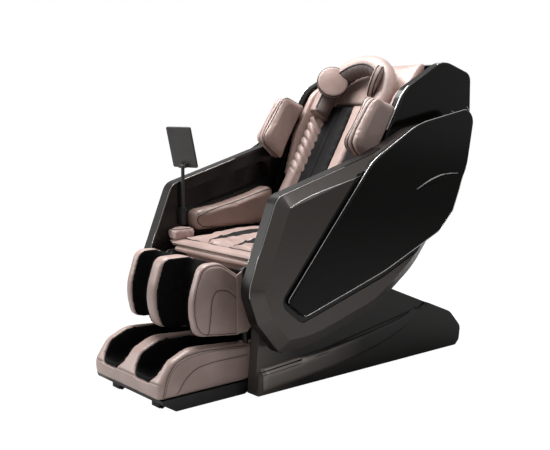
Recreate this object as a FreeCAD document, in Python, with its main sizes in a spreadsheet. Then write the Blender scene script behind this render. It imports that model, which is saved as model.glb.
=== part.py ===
import FreeCAD, Part
import math
import os
import Sketcher
from FreeCAD import Placement, Rotation, Vector

# A full-body massage chair. X runs to the sitter's left, Y to the back, Z up.
# The origin lies on the floor, on the middle plane, under the middle of the seat.
# Everything is in millimetres and degrees.

doc = FreeCAD.newDocument("massage_chair")
sheet = doc.addObject("Spreadsheet::Sheet", "sizes")


class Size:
    """A size: its value, and the formula that gives it from the sheet's cells."""

    def __init__(self, value, formula):
        self.value = value
        self.formula = formula

    def __add__(self, other):
        other = as_size(other)
        return Size(self.value + other.value, f"({self.formula} + {other.formula})")

    def __sub__(self, other):
        other = as_size(other)
        return Size(self.value - other.value, f"({self.formula} - {other.formula})")

    def __mul__(self, other):
        other = as_size(other)
        return Size(self.value * other.value, f"({self.formula} * {other.formula})")

    def __truediv__(self, other):
        other = as_size(other)
        return Size(self.value / other.value, f"({self.formula} / {other.formula})")

    def __radd__(self, other):
        return as_size(other) + self

    def __rsub__(self, other):
        return as_size(other) - self

    def __rmul__(self, other):
        return as_size(other) * self

    def __neg__(self):
        return Size(-self.value, f"(0 - {self.formula})")


def as_size(value):
    """A plain number is a size with no cell behind it."""
    if isinstance(value, Size):
        return value
    return Size(float(value), f"({float(value)!r})")


class SizeTable:
    """The driving dimensions. Each one is a cell of the sheet, under its own name."""

    def __init__(self):
        self.rows = 0

    def define(self, **named_values):
        for name, value in named_values.items():
            self.rows += 1
            sheet.set(f"A{self.rows}", name)
            sheet.set(f"B{self.rows}", str(value))
            sheet.setAlias(f"B{self.rows}", name)
            setattr(self, name, Size(float(value), f"sizes.{name}"))


size = SizeTable()
nodes = {}

# Running gaps. Rigid pieces that lie on each other touch, pieces that only pass each other
# keep the running gap, and soft pieces keep the soft gap.
size.define(
    seat_gap=0.3,
    running_gap=2.0,
)


def bind(obj, prop, value):
    """Set a property to a size, through the formula where there is one."""
    obj.setExpression(prop, as_size(value).formula)


def keep(name, obj):
    """Register a finished sub-part: its label names its file."""
    obj.Label = name
    nodes[name] = obj
    return obj


def new_body(name):
    body = doc.addObject("PartDesign::Body", name)
    return body


def origin_plane(body, role):
    for feature in body.Origin.OriginFeatures:
        if feature.Role == role:
            return feature
    raise ValueError(role)


def new_sketch(body, role, offset=0):
    """A sketch on one of the body's own planes, moved along the plane's normal."""
    sketch = body.newObject("Sketcher::SketchObject", "outline")
    sketch.AttachmentSupport = [(origin_plane(body, role), "")]
    sketch.MapMode = "FlatFace"
    bind(sketch, "AttachmentOffset.Base.z", offset)
    return sketch


def hold_point(sketch, edge, end, x, y):
    """Fix a point of the sketch at two sizes, measured from the sketch's origin."""
    sketch.addConstraint(Sketcher.Constraint("DistanceX", -1, 1, edge, end, x.value))
    sketch.setExpression(f"Constraints[{sketch.ConstraintCount - 1}]", x.formula)
    sketch.addConstraint(Sketcher.Constraint("DistanceY", -1, 1, edge, end, y.value))
    sketch.setExpression(f"Constraints[{sketch.ConstraintCount - 1}]", y.formula)


def unit(vector):
    return vector / vector.Length


def draw_outline(sketch, corners):
    """Draw a closed outline. A corner is (x, y), or (x, y, radius) where it is rounded."""
    corners = [tuple(as_size(value) for value in corner) for corner in corners]
    points = [Vector(corner[0].value, corner[1].value, 0) for corner in corners]
    count = len(corners)
    starts = []
    stops = []
    arcs = {}
    for index, corner in enumerate(corners):
        point = points[index]
        to_last = unit(points[index - 1] - point)
        to_next = unit(points[(index + 1) % count] - point)
        if len(corner) == 2:
            stops.append(point)
            starts.append(point)
            continue
        half_angle = to_last.getAngle(to_next) / 2
        reach = corner[2].value / math.tan(half_angle)
        stops.append(point + to_last * reach)
        starts.append(point + to_next * reach)
        centre = point + unit(to_last + to_next) * (corner[2].value / math.sin(half_angle))
        bulge = centre + unit(point - centre) * corner[2].value
        left_turn = to_last.cross(to_next).z < 0
        arcs[index] = (bulge, left_turn)
    lines = []
    for index in range(count):
        last = stops[(index + 1) % count]
        lines.append(sketch.addGeometry(Part.LineSegment(starts[index], last), False))
    for index, corner in enumerate(corners):
        line_in = lines[index - 1]
        line_out = lines[index]
        if index not in arcs:
            sketch.addConstraint(Sketcher.Constraint("Coincident", line_in, 2, line_out, 1))
            hold_point(sketch, line_out, 1, corner[0], corner[1])
            continue
        bulge, left_turn = arcs[index]
        ends = (stops[index], starts[index]) if left_turn else (starts[index], stops[index])
        arc = sketch.addGeometry(Part.Arc(ends[0], bulge, ends[1]), False)
        arc_in, arc_out = (1, 2) if left_turn else (2, 1)
        mark = sketch.addGeometry(Part.Point(points[index]), True)
        hold_point(sketch, mark, 1, corner[0], corner[1])
        sketch.addConstraint([
            Sketcher.Constraint("PointOnObject", mark, 1, line_in),
            Sketcher.Constraint("PointOnObject", mark, 1, line_out),
            Sketcher.Constraint("Tangent", line_in, 2, arc, arc_in),
            Sketcher.Constraint("Tangent", arc, arc_out, line_out, 1),
            Sketcher.Constraint("Radius", arc, corner[2].value),
        ])
        sketch.setExpression(f"Constraints[{sketch.ConstraintCount - 1}]", corner[2].formula)


def draw_circle(sketch, x, y, radius):
    x = as_size(x)
    y = as_size(y)
    radius = as_size(radius)
    centre = Vector(x.value, y.value, 0)
    edge = sketch.addGeometry(Part.Circle(centre, Vector(0, 0, 1), radius.value), False)
    hold_point(sketch, edge, 3, x, y)
    sketch.addConstraint(Sketcher.Constraint("Radius", edge, radius.value))
    sketch.setExpression(f"Constraints[{sketch.ConstraintCount - 1}]", radius.formula)


def add_pad(body, sketch, length, backwards=False):
    feature = body.newObject("PartDesign::Pad", "pad")
    feature.Profile = sketch
    bind(feature, "Length", length)
    feature.Reversed = backwards
    doc.recompute()
    return feature


def add_pocket(body, sketch, length, backwards=False):
    """Cut an outline into the body, along the plane's normal or against it."""
    before = body.Shape.Volume
    feature = body.newObject("PartDesign::Pocket", "pocket")
    feature.Profile = sketch
    bind(feature, "Length", length)
    feature.Reversed = not backwards
    doc.recompute()
    if body.Shape.Volume > before - 1e-3:
        raise ValueError(f"{body.Name}: a pocket cuts nothing")
    return feature


def block(name, outline, start, length, role="YZ_Plane", backwards=False):
    """A body with one padded outline."""
    body = new_body(name)
    sketch = new_sketch(body, role, start)
    draw_outline(sketch, outline)
    add_pad(body, sketch, length, backwards)
    return body


def carve(body, outline, start, length, role="YZ_Plane", backwards=False):
    sketch = new_sketch(body, role, start)
    draw_outline(sketch, outline)
    return add_pocket(body, sketch, length, backwards)


def grow(body, outline, start, length, role="YZ_Plane", backwards=False):
    sketch = new_sketch(body, role, start)
    draw_outline(sketch, outline)
    return add_pad(body, sketch, length, backwards)


def taper(body, outline, start, end_outline, end, role="YZ_Plane"):
    """Carry the body on from one outline to another, with straight flanks."""
    first = new_sketch(body, role, start)
    draw_outline(first, outline)
    last = new_sketch(body, role, end)
    draw_outline(last, end_outline)
    feature = body.newObject("PartDesign::AdditiveLoft", "taper")
    feature.Profile = first
    feature.Sections = [last]
    feature.Ruled = True
    doc.recompute()
    return feature


def pick_edges(shape, test):
    names = []
    for index, edge in enumerate(shape.Edges):
        middle = edge.valueAt((edge.FirstParameter + edge.LastParameter) / 2)
        if test(edge.BoundBox, middle):
            names.append(f"Edge{index + 1}")
    return names


def round_edges(body, radius, test):
    """Round the edges of the body's last feature that pass the test."""
    base = body.Tip
    names = pick_edges(base.Shape, test)
    if not names:
        raise ValueError(f"{body.Name}: no edge to round")
    feature = body.newObject("PartDesign::Fillet", "fillet")
    feature.Base = (base, names)
    bind(feature, "Radius", radius)
    doc.recompute()
    return feature


def bevel_edges(body, depth, test):
    base = body.Tip
    names = pick_edges(base.Shape, test)
    if not names:
        raise ValueError(f"{body.Name}: no edge to bevel")
    feature = body.newObject("PartDesign::Chamfer", "chamfer")
    feature.Base = (base, names)
    bind(feature, "Size", depth)
    doc.recompute()
    return feature


def at_x(*places):
    """A test for edges that lie in one of the planes across X."""
    values = [as_size(place).value for place in places]

    def test(bounds, middle):
        return any(abs(bounds.XMin - x) < 0.01 and abs(bounds.XMax - x) < 0.01 for x in values)
    return test


def box(name, corner, lengths):
    obj = doc.addObject("Part::Box", name)
    for prop, value in zip(("Length", "Width", "Height"), lengths):
        bind(obj, prop, value)
    for axis, value in zip("xyz", corner):
        bind(obj, f"Placement.Base.{axis}", value)
    return obj


TURN_TO_AXIS = {
    "x": Rotation(Vector(0, 1, 0), 90),
    "y": Rotation(Vector(-1, 0, 0), 90),
    "z": Rotation(),
}


def rod(name, axis, start, length, radius):
    """A cylinder along one axis."""
    obj = doc.addObject("Part::Cylinder", name)
    obj.Placement.Rotation = TURN_TO_AXIS[axis]
    bind(obj, "Radius", radius)
    bind(obj, "Height", length)
    for letter, value in zip("xyz", start):
        bind(obj, f"Placement.Base.{letter}", value)
    return obj


def fuse(name, parts):
    obj = doc.addObject("Part::MultiFuse", name)
    obj.Shapes = parts
    return obj


def cut(name, base, tool):
    obj = doc.addObject("Part::Cut", name)
    obj.Base = base
    obj.Tool = tool
    return obj


def common(name, first, second):
    obj = doc.addObject("Part::Common", name)
    obj.Base = first
    obj.Tool = second
    return obj


def group(name, parts):
    """Several separate solids that share one node."""
    obj = doc.addObject("Part::Compound", name)
    obj.Links = parts
    return obj


def both_sides(builder):
    """Build a left and a right piece. The sitter's left is +X."""
    return {side: builder(side, sign) for side, sign in (("left", 1), ("right", -1))}


# Leg rest. The calf unit hangs from the seat by two pins beside the knees, and the foot unit
# slides down out of it on two guide bars. Both are leather-covered shells with two wells each,
# lined with black fabric.
size.define(
    leg_half_width=227,
    leg_edge_round=15,
    ridge_half_width=33,
    well_outer=183,
    liner_thickness=7,
    calf_back=417,
    calf_bottom=221,
    calf_back_top=433,
    calf_top=489,
    calf_top_back=503,
    calf_top_front=577,
    calf_front=624,
    calf_front_height=350,
    calf_chin=600,
    calf_chin_height=243,
    calf_ridge_rise=35,
    calf_well_back=508,
    calf_well_round=28,
    foot_front=754,
    foot_back=342,
    foot_bottom=52,
    foot_back_height=190,
    foot_top=210,
    foot_top_front=628,
    foot_nose=706,
    foot_nose_height=176,
    foot_toe=756,
    foot_toe_height=106,
    foot_edge_round=26,
    foot_well_front=754,
    foot_well_toe=105,
    foot_well_floor=74,
    foot_well_round=40,
    foot_well_end_round=48,
    ridge_lining_setback=3,
    flank_clearance=4,
)


size.define(
    knee_plate_thickness=5,
    knee_plate_half_width=227,
    knee_plate_bottom=240,
    knee_ear_inside=219,
    knee_ear_thickness=8,
    bar_x=204,
    bar_forward=385,
    bar_radius=10,
    bar_top=420,
    sleeve_wall=4,
    sleeve_bottom=246,
    sleeve_top=426,
    tray_bottom=6,
    tray_front=745,
    tray_toe=690,
    tray_heel=400,
    tray_half_width=221,
    tray_wall=5,
    foot_wheel_radius=9,
    foot_wheel_width=36,
    foot_wheel_x=134,
    foot_wheel_forward=700,
)


def calf_outline(rise):
    """Side view of the calf unit. The middle ridge stands further out than the sides."""
    return [
        (-size.calf_back, size.calf_bottom),
        (-size.calf_back, size.calf_back_top, 12),
        (-size.calf_top_back, size.calf_top, 60),
        (-size.calf_top_front - rise, size.calf_top + rise * 0.1, 42),
        (-size.calf_front - rise, size.calf_front_height, 200),
        (-size.calf_chin - rise * 0.7, size.calf_chin_height, 34),
    ]


def calf_well_outline(wall):
    """The cut that opens the calf unit to the front, from top to bottom."""
    back = -size.calf_well_back - wall
    ahead = -size.calf_front - size.calf_ridge_rise - 20
    below = size.calf_bottom - 30
    above = size.calf_top + 20
    return [
        (ahead, below),
        (back, below),
        (back, size.calf_back_top, 60),
        (back + 34, above),
        (ahead, above),
    ]


def foot_outline():
    """Side view of the foot unit."""
    return [
        (-size.foot_back, size.foot_bottom),
        (-size.foot_back, size.foot_back_height, 8),
        (-size.foot_top_front, size.foot_top, 120),
        (-size.foot_nose, size.foot_nose_height, 60),
        (-size.foot_toe, size.foot_toe_height, 16),
        (-size.foot_front, size.foot_bottom, 5),
    ]


def foot_well_outline(wall):
    """The cut for one foot: open at the top and at the heel."""
    front = -size.foot_well_front + wall
    floor = size.foot_well_floor + wall
    return [
        (front, size.foot_top + 60),
        (front, size.foot_well_toe + wall, 12),
        (front + 60, floor, 60),
        (-size.foot_back + 20, floor),
        (-size.foot_back + 20, size.foot_top + 60),
    ]


def toe_end_outline(sign, wall):
    """Plan of one foot well, rounded at the toe end."""
    near = (size.ridge_half_width + wall) * sign
    far = (size.well_outer - wall) * sign
    front = -size.foot_well_front + wall
    end_round = size.foot_well_end_round - wall
    return [(near, 0), (near, front, end_round), (far, front, end_round), (far, 0)]


def well_pair(name, outline, wall, corner_round, plan=None):
    """The two wells, left and right of the middle ridge, drawn in by a wall."""
    width = size.well_outer - size.ridge_half_width - wall * 2
    wells = []
    for sign in (1, -1):
        start = (size.ridge_half_width + wall) * sign
        well = block(name, outline, start, width, backwards=sign < 0)
        inner = start.value
        outer = inner + width.value * sign
        ahead = min(vertex.Y for vertex in well.Shape.Vertexes)

        def bed_edges(bounds, middle):
            in_side = at_x(inner, outer)(bounds, middle)
            return in_side and bounds.ZMax - bounds.ZMin > 1 and middle.y > ahead + 1 or (
                in_side and bounds.ZMax - bounds.ZMin < 0.01 and middle.z < 200)
        round_edges(well, corner_round - wall, bed_edges)
        if plan:
            height = size.foot_top * 2
            well = common(name, well, block("toe_end", plan(sign, wall), 0, height, "XY_Plane"))
        wells.append(well)
    return wells


def lined_unit(name, body, well_outline, corner_round, plan=None):
    """Cut the wells out of a unit, and make the fabric lining that lies in them."""
    wells = well_pair(name + "_well", well_outline(as_size(0)), as_size(0), corner_round, plan)
    shell = cut(name + "_shell_cut", body, fuse(name + "_wells", wells))
    gap = size.seat_gap
    outer = well_pair(name + "_lining_outer", well_outline(gap), gap, corner_round, plan)
    wall = size.seat_gap + size.liner_thickness
    inner = well_pair(name + "_lining_inner", well_outline(wall), wall, corner_round, plan)
    filled = common(name + "_lining_block", body, fuse(name + "_lining_blocks", outer))
    lining = cut(name + "_lining_cut", filled, fuse(name + "_lining_wells", inner))
    return shell, lining


def flank_back_outline():
    """What is taken off behind the lining that climbs the middle ridge."""
    back = -size.calf_well_back - size.calf_well_round - size.flank_clearance
    return [
        (0, size.calf_bottom - 40),
        (back, size.calf_bottom - 40),
        (back, size.calf_back_top, 60),
        (back + 34, size.calf_top + 20),
        (0, size.calf_top + 20),
    ]


def build_calf_unit():
    sides = block("calf_sides", calf_outline(as_size(0)), -size.leg_half_width,
                  size.leg_half_width * 2)
    round_edges(sides, size.leg_edge_round, at_x(size.leg_half_width, -size.leg_half_width))
    ridge = block("calf_ridge", calf_outline(size.calf_ridge_rise), -size.ridge_half_width,
                  size.ridge_half_width * 2)
    round_edges(ridge, size.leg_edge_round,
                at_x(size.ridge_half_width, -size.ridge_half_width))
    shell, lining = lined_unit("calf", sides, calf_well_outline, size.calf_well_round)
    keep("calf_shell", fuse("calf_shell", [shell, ridge]))
    flanks = []
    for sign in (1, -1):
        start = (size.ridge_half_width + size.seat_gap) * sign
        outline = calf_outline(size.calf_ridge_rise - size.ridge_lining_setback)
        flank = block("ridge_flank", outline, start, size.liner_thickness, backwards=sign < 0)
        carve(flank, flank_back_outline(), start, size.liner_thickness, backwards=sign < 0)
        flanks.append(flank)
    keep("calf_lining", fuse("calf_lining", [lining] + flanks))


def build_foot_unit():
    body = block("foot_body", foot_outline(), -size.leg_half_width, size.leg_half_width * 2)
    round_edges(body, size.foot_edge_round, at_x(size.leg_half_width, -size.leg_half_width))
    shell, lining = lined_unit("foot", body, foot_well_outline, size.foot_well_round,
                               toe_end_outline)
    bores = [rod("bar_bore", "z", (size.bar_x * sign, -size.bar_forward, 0), 300,
                 size.bar_radius + size.seat_gap) for sign in (1, -1)]
    keep("foot_shell", cut("foot_shell", shell, fuse("bar_bores", bores)))
    keep("foot_lining", lining)


build_calf_unit()
build_foot_unit()

size.define(
    knee_pin_forward=405,
    knee_pin_height=448,
    knee_pin_radius=7,
)

# Seat frame. A welded frame of two side plates, tubes and a pan. It rocks on the base, and
# carries the seat, both arms, the backrest and the leg rest.
size.define(
    frame_plate_inside=236,
    frame_plate_thickness=8,
    tilt_pin_back=50,
    tilt_pin_height=300,
    tilt_pin_radius=10,
    back_hinge_back=95,
    back_hinge_height=400,
    back_hinge_radius=9,
    seat_pan_height=430,
    seat_pan_thickness=4,
    seat_pan_front=345,
    frame_tube_radius=14,
    arm_inside=303,
    arm_carrier_radius=12,
    arm_carrier_height=400,
    arm_carrier_front=250,
    arm_carrier_back=60,
)


# An outline that is drawn in keeps at least this rounding at each rounded corner.
LEAST_ROUND = 1.0


def inset(corners, wall):
    """The same outline, drawn in by a wall all round. A negative wall draws it out."""
    wall = as_size(wall)
    corners = [tuple(as_size(value) for value in corner) for corner in corners]
    points = [Vector(corner[0].value, corner[1].value, 0) for corner in corners]
    count = len(points)
    area = sum(points[i - 1].cross(points[i]).z for i in range(count))
    inward = 1 if area > 0 else -1
    moved = []
    for index, corner in enumerate(corners):
        before = unit(points[index] - points[index - 1])
        after = unit(points[(index + 1) % count] - points[index])
        normal_before = Vector(-before.y, before.x, 0) * inward
        normal_after = Vector(-after.y, after.x, 0) * inward
        shift = (normal_before + normal_after) / (1 + normal_before.dot(normal_after))
        x = corner[0] + wall * shift.x
        y = corner[1] + wall * shift.y
        if len(corner) == 2:
            moved.append((x, y))
            continue
        hollow = before.cross(after).z * inward < 0
        radius = corner[2] + wall if hollow else corner[2] - wall
        moved.append((x, y, radius if radius.value > LEAST_ROUND else as_size(LEAST_ROUND)))
    return moved


def side_plate_outline():
    knee = -size.knee_pin_forward
    return [
        (knee - 19, size.knee_pin_height - 16, 10),
        (knee - 19, size.knee_pin_height + 19, 14),
        (knee + 19, size.knee_pin_height + 19, 14),
        (knee + 70, size.seat_pan_height + 6, 40),
        (size.back_hinge_back - 40, size.seat_pan_height + 6, 30),
        (size.back_hinge_back + 24, size.back_hinge_height + 34, 20),
        (size.back_hinge_back + 28, size.back_hinge_height - 26, 24),
        (size.tilt_pin_back + 26, size.tilt_pin_height - 22, 20),
        (size.tilt_pin_back - 26, size.tilt_pin_height - 22, 20),
        (size.tilt_pin_back - 70, size.seat_pan_height - 70, 60),
        (knee + 70, size.seat_pan_height - 60, 40),
        (knee + 19, size.knee_pin_height - 22, 20),
    ]


def build_seat_frame():
    inside = size.frame_plate_inside
    wall = size.frame_plate_thickness
    pieces = []
    for sign in (1, -1):
        plate = block("side_plate", side_plate_outline(), inside * sign, wall,
                      backwards=sign < 0)
        holes = new_sketch(plate, "YZ_Plane", inside * sign)
        draw_circle(holes, -size.knee_pin_forward, size.knee_pin_height,
                    size.knee_pin_radius + size.seat_gap)
        draw_circle(holes, size.tilt_pin_back, size.tilt_pin_height,
                    size.tilt_pin_radius + size.seat_gap)
        draw_circle(holes, size.back_hinge_back, size.back_hinge_height,
                    size.back_hinge_radius + size.seat_gap)
        add_pocket(plate, holes, wall, sign < 0)
        pieces.append(plate)
        for place in (-size.arm_carrier_front, size.arm_carrier_back):
            start = (inside + wall) if sign > 0 else -size.arm_inside
            length = size.arm_inside - inside - wall
            pieces.append(rod("arm_carrier", "x", (start, place, size.arm_carrier_height),
                              length, size.arm_carrier_radius))
    under_pan = size.seat_pan_height - size.seat_pan_thickness / 2 - size.frame_tube_radius
    for place in (-size.seat_pan_front + 40, -size.seat_pan_front / 2, -size.frame_tube_radius):
        pieces.append(rod("cross_tube", "x", (-inside, place, under_pan), inside * 2,
                          size.frame_tube_radius))
    pieces.append(box("pan", (-inside, -size.seat_pan_front,
                              size.seat_pan_height - size.seat_pan_thickness),
                      (inside * 2, size.seat_pan_front - 25, size.seat_pan_thickness)))
    recline_pivot = rod("recline_eye", "x",
                        (size.recline_x - 22, -size.recline_pivot_forward,
                         size.recline_pivot_height), as_size(44), size.actuator_pin)
    recline_lugs = [box("recline_lug", (size.recline_x + offset,
                                        -size.recline_pivot_forward - 12,
                                        size.recline_pivot_height - 12),
                        (6, 24, under_pan - size.recline_pivot_height + 6))
                    for offset in (-22, 16)]
    tilt_lugs = [box("tilt_lug", (offset, -size.tilt_end_forward - 12,
                                  size.tilt_end_height - 12),
                     (6, 24, under_pan - size.tilt_end_height + 26))
                 for offset in (-20, 14)]
    tilt_pin = rod("tilt_end_pin", "x", (-20, -size.tilt_end_forward, size.tilt_end_height),
                   as_size(40), size.actuator_pin)
    pieces += [recline_pivot, tilt_pin] + recline_lugs + tilt_lugs
    keep("seat_frame", fuse("seat_frame", pieces))


# Linear actuators. Each is a motor tube on a pin and a rod that slides out of it. The rod's
# eye is slotted, because the real linkage closes there.
size.define(
    actuator_pin=6,
    actuator_tube_radius=19,
    actuator_rod_radius=9,
    actuator_eye_radius=14,
    actuator_motor_radius=26,
    actuator_motor_length=96,
    actuator_motor_start=36,
    actuator_motor_drop=46,
    actuator_mouth=8,
    actuator_neck=20,
    actuator_bore_start=60,
    actuator_eye_half=15,
    actuator_rod_eye_half=12,
    actuator_slot_wall=5,
    recline_x=110,
    recline_pivot_forward=290,
    recline_pivot_height=340,
    recline_lever=62,
    recline_lever_back=12,
    recline_stroke=34,
    recline_slot=3.6,
    tilt_stroke=31,
    tilt_slot=1.2,
    tilt_pivot_back=110,
    tilt_pivot_height=70,
    tilt_end_forward=200,
    tilt_end_height=345,
)


# Seat. A low crowned cushion on the pan, over a wide flat layer that closes the gap to the
# arms and carries two hip pads at its front corners. A rolled lip hangs under its front edge.
size.define(
    seat_half_width=222,
    seat_front=362,
    seat_front_height=512,
    seat_crown_height=528,
    seat_back_top=28,
    seat_back_bottom=34,
    seat_edge_round=20,
    layer_half_width=264,
    layer_front=392,
    layer_back=6,
    layer_bottom=481,
    layer_top=500,
    layer_round=7,
    hip_pad_inside=226,
    hip_pad_outside=296,
    hip_pad_front=386,
    hip_pad_back=296,
    hip_pad_top=545,
    hip_pad_round=16,
    flap_half_width=234,
    flap_top=480,
    flap_thickness=20,
    flap_front=394,
    flap_round=8,
)


def seat_outline():
    return [
        (-size.seat_front + 10, size.seat_pan_height + size.seat_gap),
        (-size.seat_front, size.seat_front_height, 26),
        (-size.seat_front + 120, size.seat_crown_height - 10, 160),
        (-size.seat_front + 240, size.seat_crown_height, 300),
        (size.seat_back_top, size.seat_crown_height - 4, 14),
        (-size.seat_back_bottom, size.seat_pan_height + size.seat_gap),
    ]


def build_hip_pad(sign):
    """A small pad beside the thigh, on the front corner of the wide layer."""
    start = size.hip_pad_inside * sign
    width = size.hip_pad_outside - size.hip_pad_inside
    pad = block("hip_pad", [
        (-size.hip_pad_front, size.layer_top - size.layer_round),
        (-size.hip_pad_front, size.hip_pad_top, size.hip_pad_round),
        (-size.hip_pad_back, size.hip_pad_top, size.hip_pad_round),
        (-size.hip_pad_back, size.layer_top - size.layer_round),
    ], start, width, backwards=sign < 0)
    round_edges(pad, size.hip_pad_round - 2,
                at_x(start, size.hip_pad_outside * sign))
    return pad


def build_seat():
    half = size.seat_half_width
    cushion = block("cushion_crown", seat_outline(), -half, half * 2)
    round_edges(cushion, size.seat_edge_round, at_x(half, -half))
    wide = size.layer_half_width
    layer = block("cushion_layer", [
        (-size.layer_front, size.layer_bottom, size.layer_round),
        (-size.layer_front, size.layer_top, size.layer_round),
        (size.layer_back, size.layer_top),
        (size.layer_back - 14, size.layer_bottom),
    ], -wide, wide * 2)
    keep("seat_cushion", fuse("seat_cushion", [cushion, layer, build_hip_pad(1),
                                               build_hip_pad(-1)]))
    half = size.flap_half_width
    bottom = size.flap_top - size.flap_thickness
    keep("seat_flap", block("seat_flap", [
        (-size.flap_front, bottom, size.flap_round),
        (-size.flap_front, size.flap_top, size.flap_round),
        (-size.seat_front - size.seat_gap, size.flap_top),
        (-size.seat_front + 3, bottom),
    ], -half, half * 2))


# Arms. Each arm is a deep side shell, open to the inside and closed by a liner with the
# forearm pocket. A bright band wraps its front and top edge, and a long bulged panel, pointed
# at the front, is let into its outer face.
size.define(
    arm_outside=374,
    arm_bevel_across=27,
    arm_bevel_down=46,
    arm_wall=5,
    band_width=44,
    band_thickness=3,
    arm_front=482,
    arm_front_height=400,
    arm_chin=440,
    arm_chin_height=285,
    arm_heel=345,
    arm_heel_height=172,
    arm_brow=355,
    arm_brow_height=712,
    arm_top_back=100,
    arm_top_height=842,
    arm_crest_back=300,
    arm_crest_height=932,
    arm_tail_back=634,
    arm_tail_height=990,
    arm_waist_back=592,
    arm_waist_height=790,
    arm_notch_back=506,
    arm_notch_height=606,
    belly_front=200,
    belly_middle=120,
    belly_middle_height=262,
    belly_back=330,
    belly_back_height=400,
    panel_thickness=17,
    panel_edge=7,
    panel_groove=22,
    panel_groove_depth=5,
    brow_front=296,
    brow_front_height=700,
    brow_depth=3,
    panel_tip=338,
    panel_tip_height=352,
    panel_shoulder=70,
    panel_shoulder_height=822,
    panel_crest_back=310,
    panel_crest_height=950,
    panel_tail_back=646,
    panel_tail_height=1014,
    panel_end_back=440,
    panel_end_height=528,
    panel_low_back=130,
    panel_low_height=402,
    panel_chin=262,
    panel_chin_height=290,
    pocket_depth=34,
    pocket_front=318,
    pocket_front_height=592,
    pocket_height=92,
    pocket_back=120,
    pocket_rise=108,
    liner_wall=4,
    arm_pad_inside=232,
    arm_pad_front=292,
    arm_pad_bottom=527,
    arm_pad_back=124,
    arm_pad_front_height=603,
    arm_pad_back_height=688,
    arm_pad_round=16,
)


def arm_outline():
    return [
        (-size.arm_heel, size.arm_heel_height, 25),
        (-size.arm_chin, size.arm_chin_height, 40),
        (-size.arm_front, size.arm_front_height, 90),
        (-size.arm_brow, size.arm_brow_height, 55),
        (size.arm_top_back, size.arm_top_height, 120),
        (size.arm_crest_back, size.arm_crest_height, 200),
        (size.arm_tail_back, size.arm_tail_height, 40),
        (size.arm_waist_back, size.arm_waist_height, 150),
        (size.arm_notch_back, size.arm_notch_height, 30),
        (size.belly_back, size.belly_back_height, 400),
        (size.belly_middle, size.belly_middle_height, 450),
        (-size.belly_front, size.arm_heel_height + 3, 500),
    ]


def panel_outline():
    """The long outer panel, from its pointed front to its tail behind the sitter."""
    return [
        (-size.panel_chin, size.panel_chin_height, 22),
        (-size.panel_tip, size.panel_tip_height, 18),
        (size.panel_shoulder, size.panel_shoulder_height, 200),
        (size.panel_crest_back, size.panel_crest_height, 400),
        (size.panel_tail_back, size.panel_tail_height, 50),
        (size.arm_waist_back + 12, size.arm_waist_height, 150),
        (size.arm_notch_back + 14, size.arm_notch_height - 4, 30),
        (size.panel_end_back, size.panel_end_height, 60),
        (size.panel_low_back, size.panel_low_height, 500),
    ]


def brow_outline():
    """The shallow step under the crease at the panel's upper rear edge."""
    return [
        (size.brow_front, size.brow_front_height),
        (size.brow_front + 98, size.brow_front_height + 37, 90),
        (size.brow_front + 173, size.brow_front_height + 55, 60),
        (size.brow_front + 330, size.brow_front_height + 40),
        (size.brow_front + 300, size.brow_front_height - 20),
        (size.brow_front + 176, size.brow_front_height + 26, 60),
        (size.brow_front + 98, size.brow_front_height + 17, 80),
    ]


def pocket_outline():
    """The hollow for the forearm, seen from inside. It runs up to the back."""
    front = -size.pocket_front
    base = size.pocket_front_height
    return [
        (front, base, 26),
        (front + 22, base + size.pocket_height, 34),
        (size.pocket_back, base + size.pocket_rise + size.pocket_height, 34),
        (size.pocket_back + 24, base + size.pocket_rise, 34),
    ]


def build_arm_shell(side, sign):
    inside = size.arm_inside * sign
    outside = size.arm_outside * sign
    shoulder = outside - size.arm_bevel_across * sign
    flat = size.arm_outside - size.arm_inside - size.arm_bevel_across
    shell = block("arm_shell_" + side, arm_outline(), inside, flat, backwards=sign < 0)
    taper(shell, arm_outline(), shoulder, inset(arm_outline(), size.arm_bevel_down), outside)
    carve(shell, inset(panel_outline(), -size.panel_groove),
          outside - size.panel_groove_depth * sign, size.panel_groove_depth + 1,
          backwards=sign < 0)
    carve(shell, inset(arm_outline(), size.arm_wall), inside, flat - size.arm_wall,
          backwards=sign < 0)
    keep("arm_shell_" + side, shell)


def build_arm_band(side, sign):
    """The bright band round the arm's front and top edge."""
    inside = size.arm_inside * sign
    outer = block("band_" + side, inset(arm_outline(), -size.band_thickness), inside,
                  size.band_width, backwards=sign < 0)
    carve(outer, arm_outline(), inside, size.band_width, backwards=sign < 0)
    rear = size.arm_top_back + 40
    behind = size.arm_tail_back + 60
    carve(outer, [
        (-size.arm_heel + 10, size.arm_heel_height - 40),
        (-size.arm_heel + 10, size.arm_heel_height + 40),
        (rear, size.arm_top_height - 60),
        (rear, size.arm_tail_height + 60),
        (behind, size.arm_tail_height + 60),
        (behind, size.arm_heel_height - 40),
    ], inside, size.band_width, backwards=sign < 0)
    keep("arm_band_" + side, outer)


def build_arm_panel(side, sign):
    start = (size.arm_outside - size.panel_groove_depth) * sign
    panel = block("arm_panel_" + side, panel_outline(), start, size.panel_thickness,
                  backwards=sign < 0)
    face = start + size.panel_thickness * sign
    round_edges(panel, size.panel_edge, at_x(face))
    carve(panel, brow_outline(), face, size.brow_depth, backwards=sign > 0)
    keep("arm_panel_" + side, panel)


def build_arm_liner(side, sign):
    inside = size.arm_inside * sign
    outline = inset(arm_outline(), size.arm_wall + size.seat_gap)
    plate = block("arm_liner_" + side, outline, inside, size.liner_wall, backwards=sign < 0)
    grow(plate, inset(pocket_outline(), -size.liner_wall), inside,
         size.pocket_depth + size.liner_wall, backwards=sign < 0)
    carve(plate, pocket_outline(), inside, size.pocket_depth, backwards=sign < 0)
    keep("arm_liner_" + side, plate)


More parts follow.
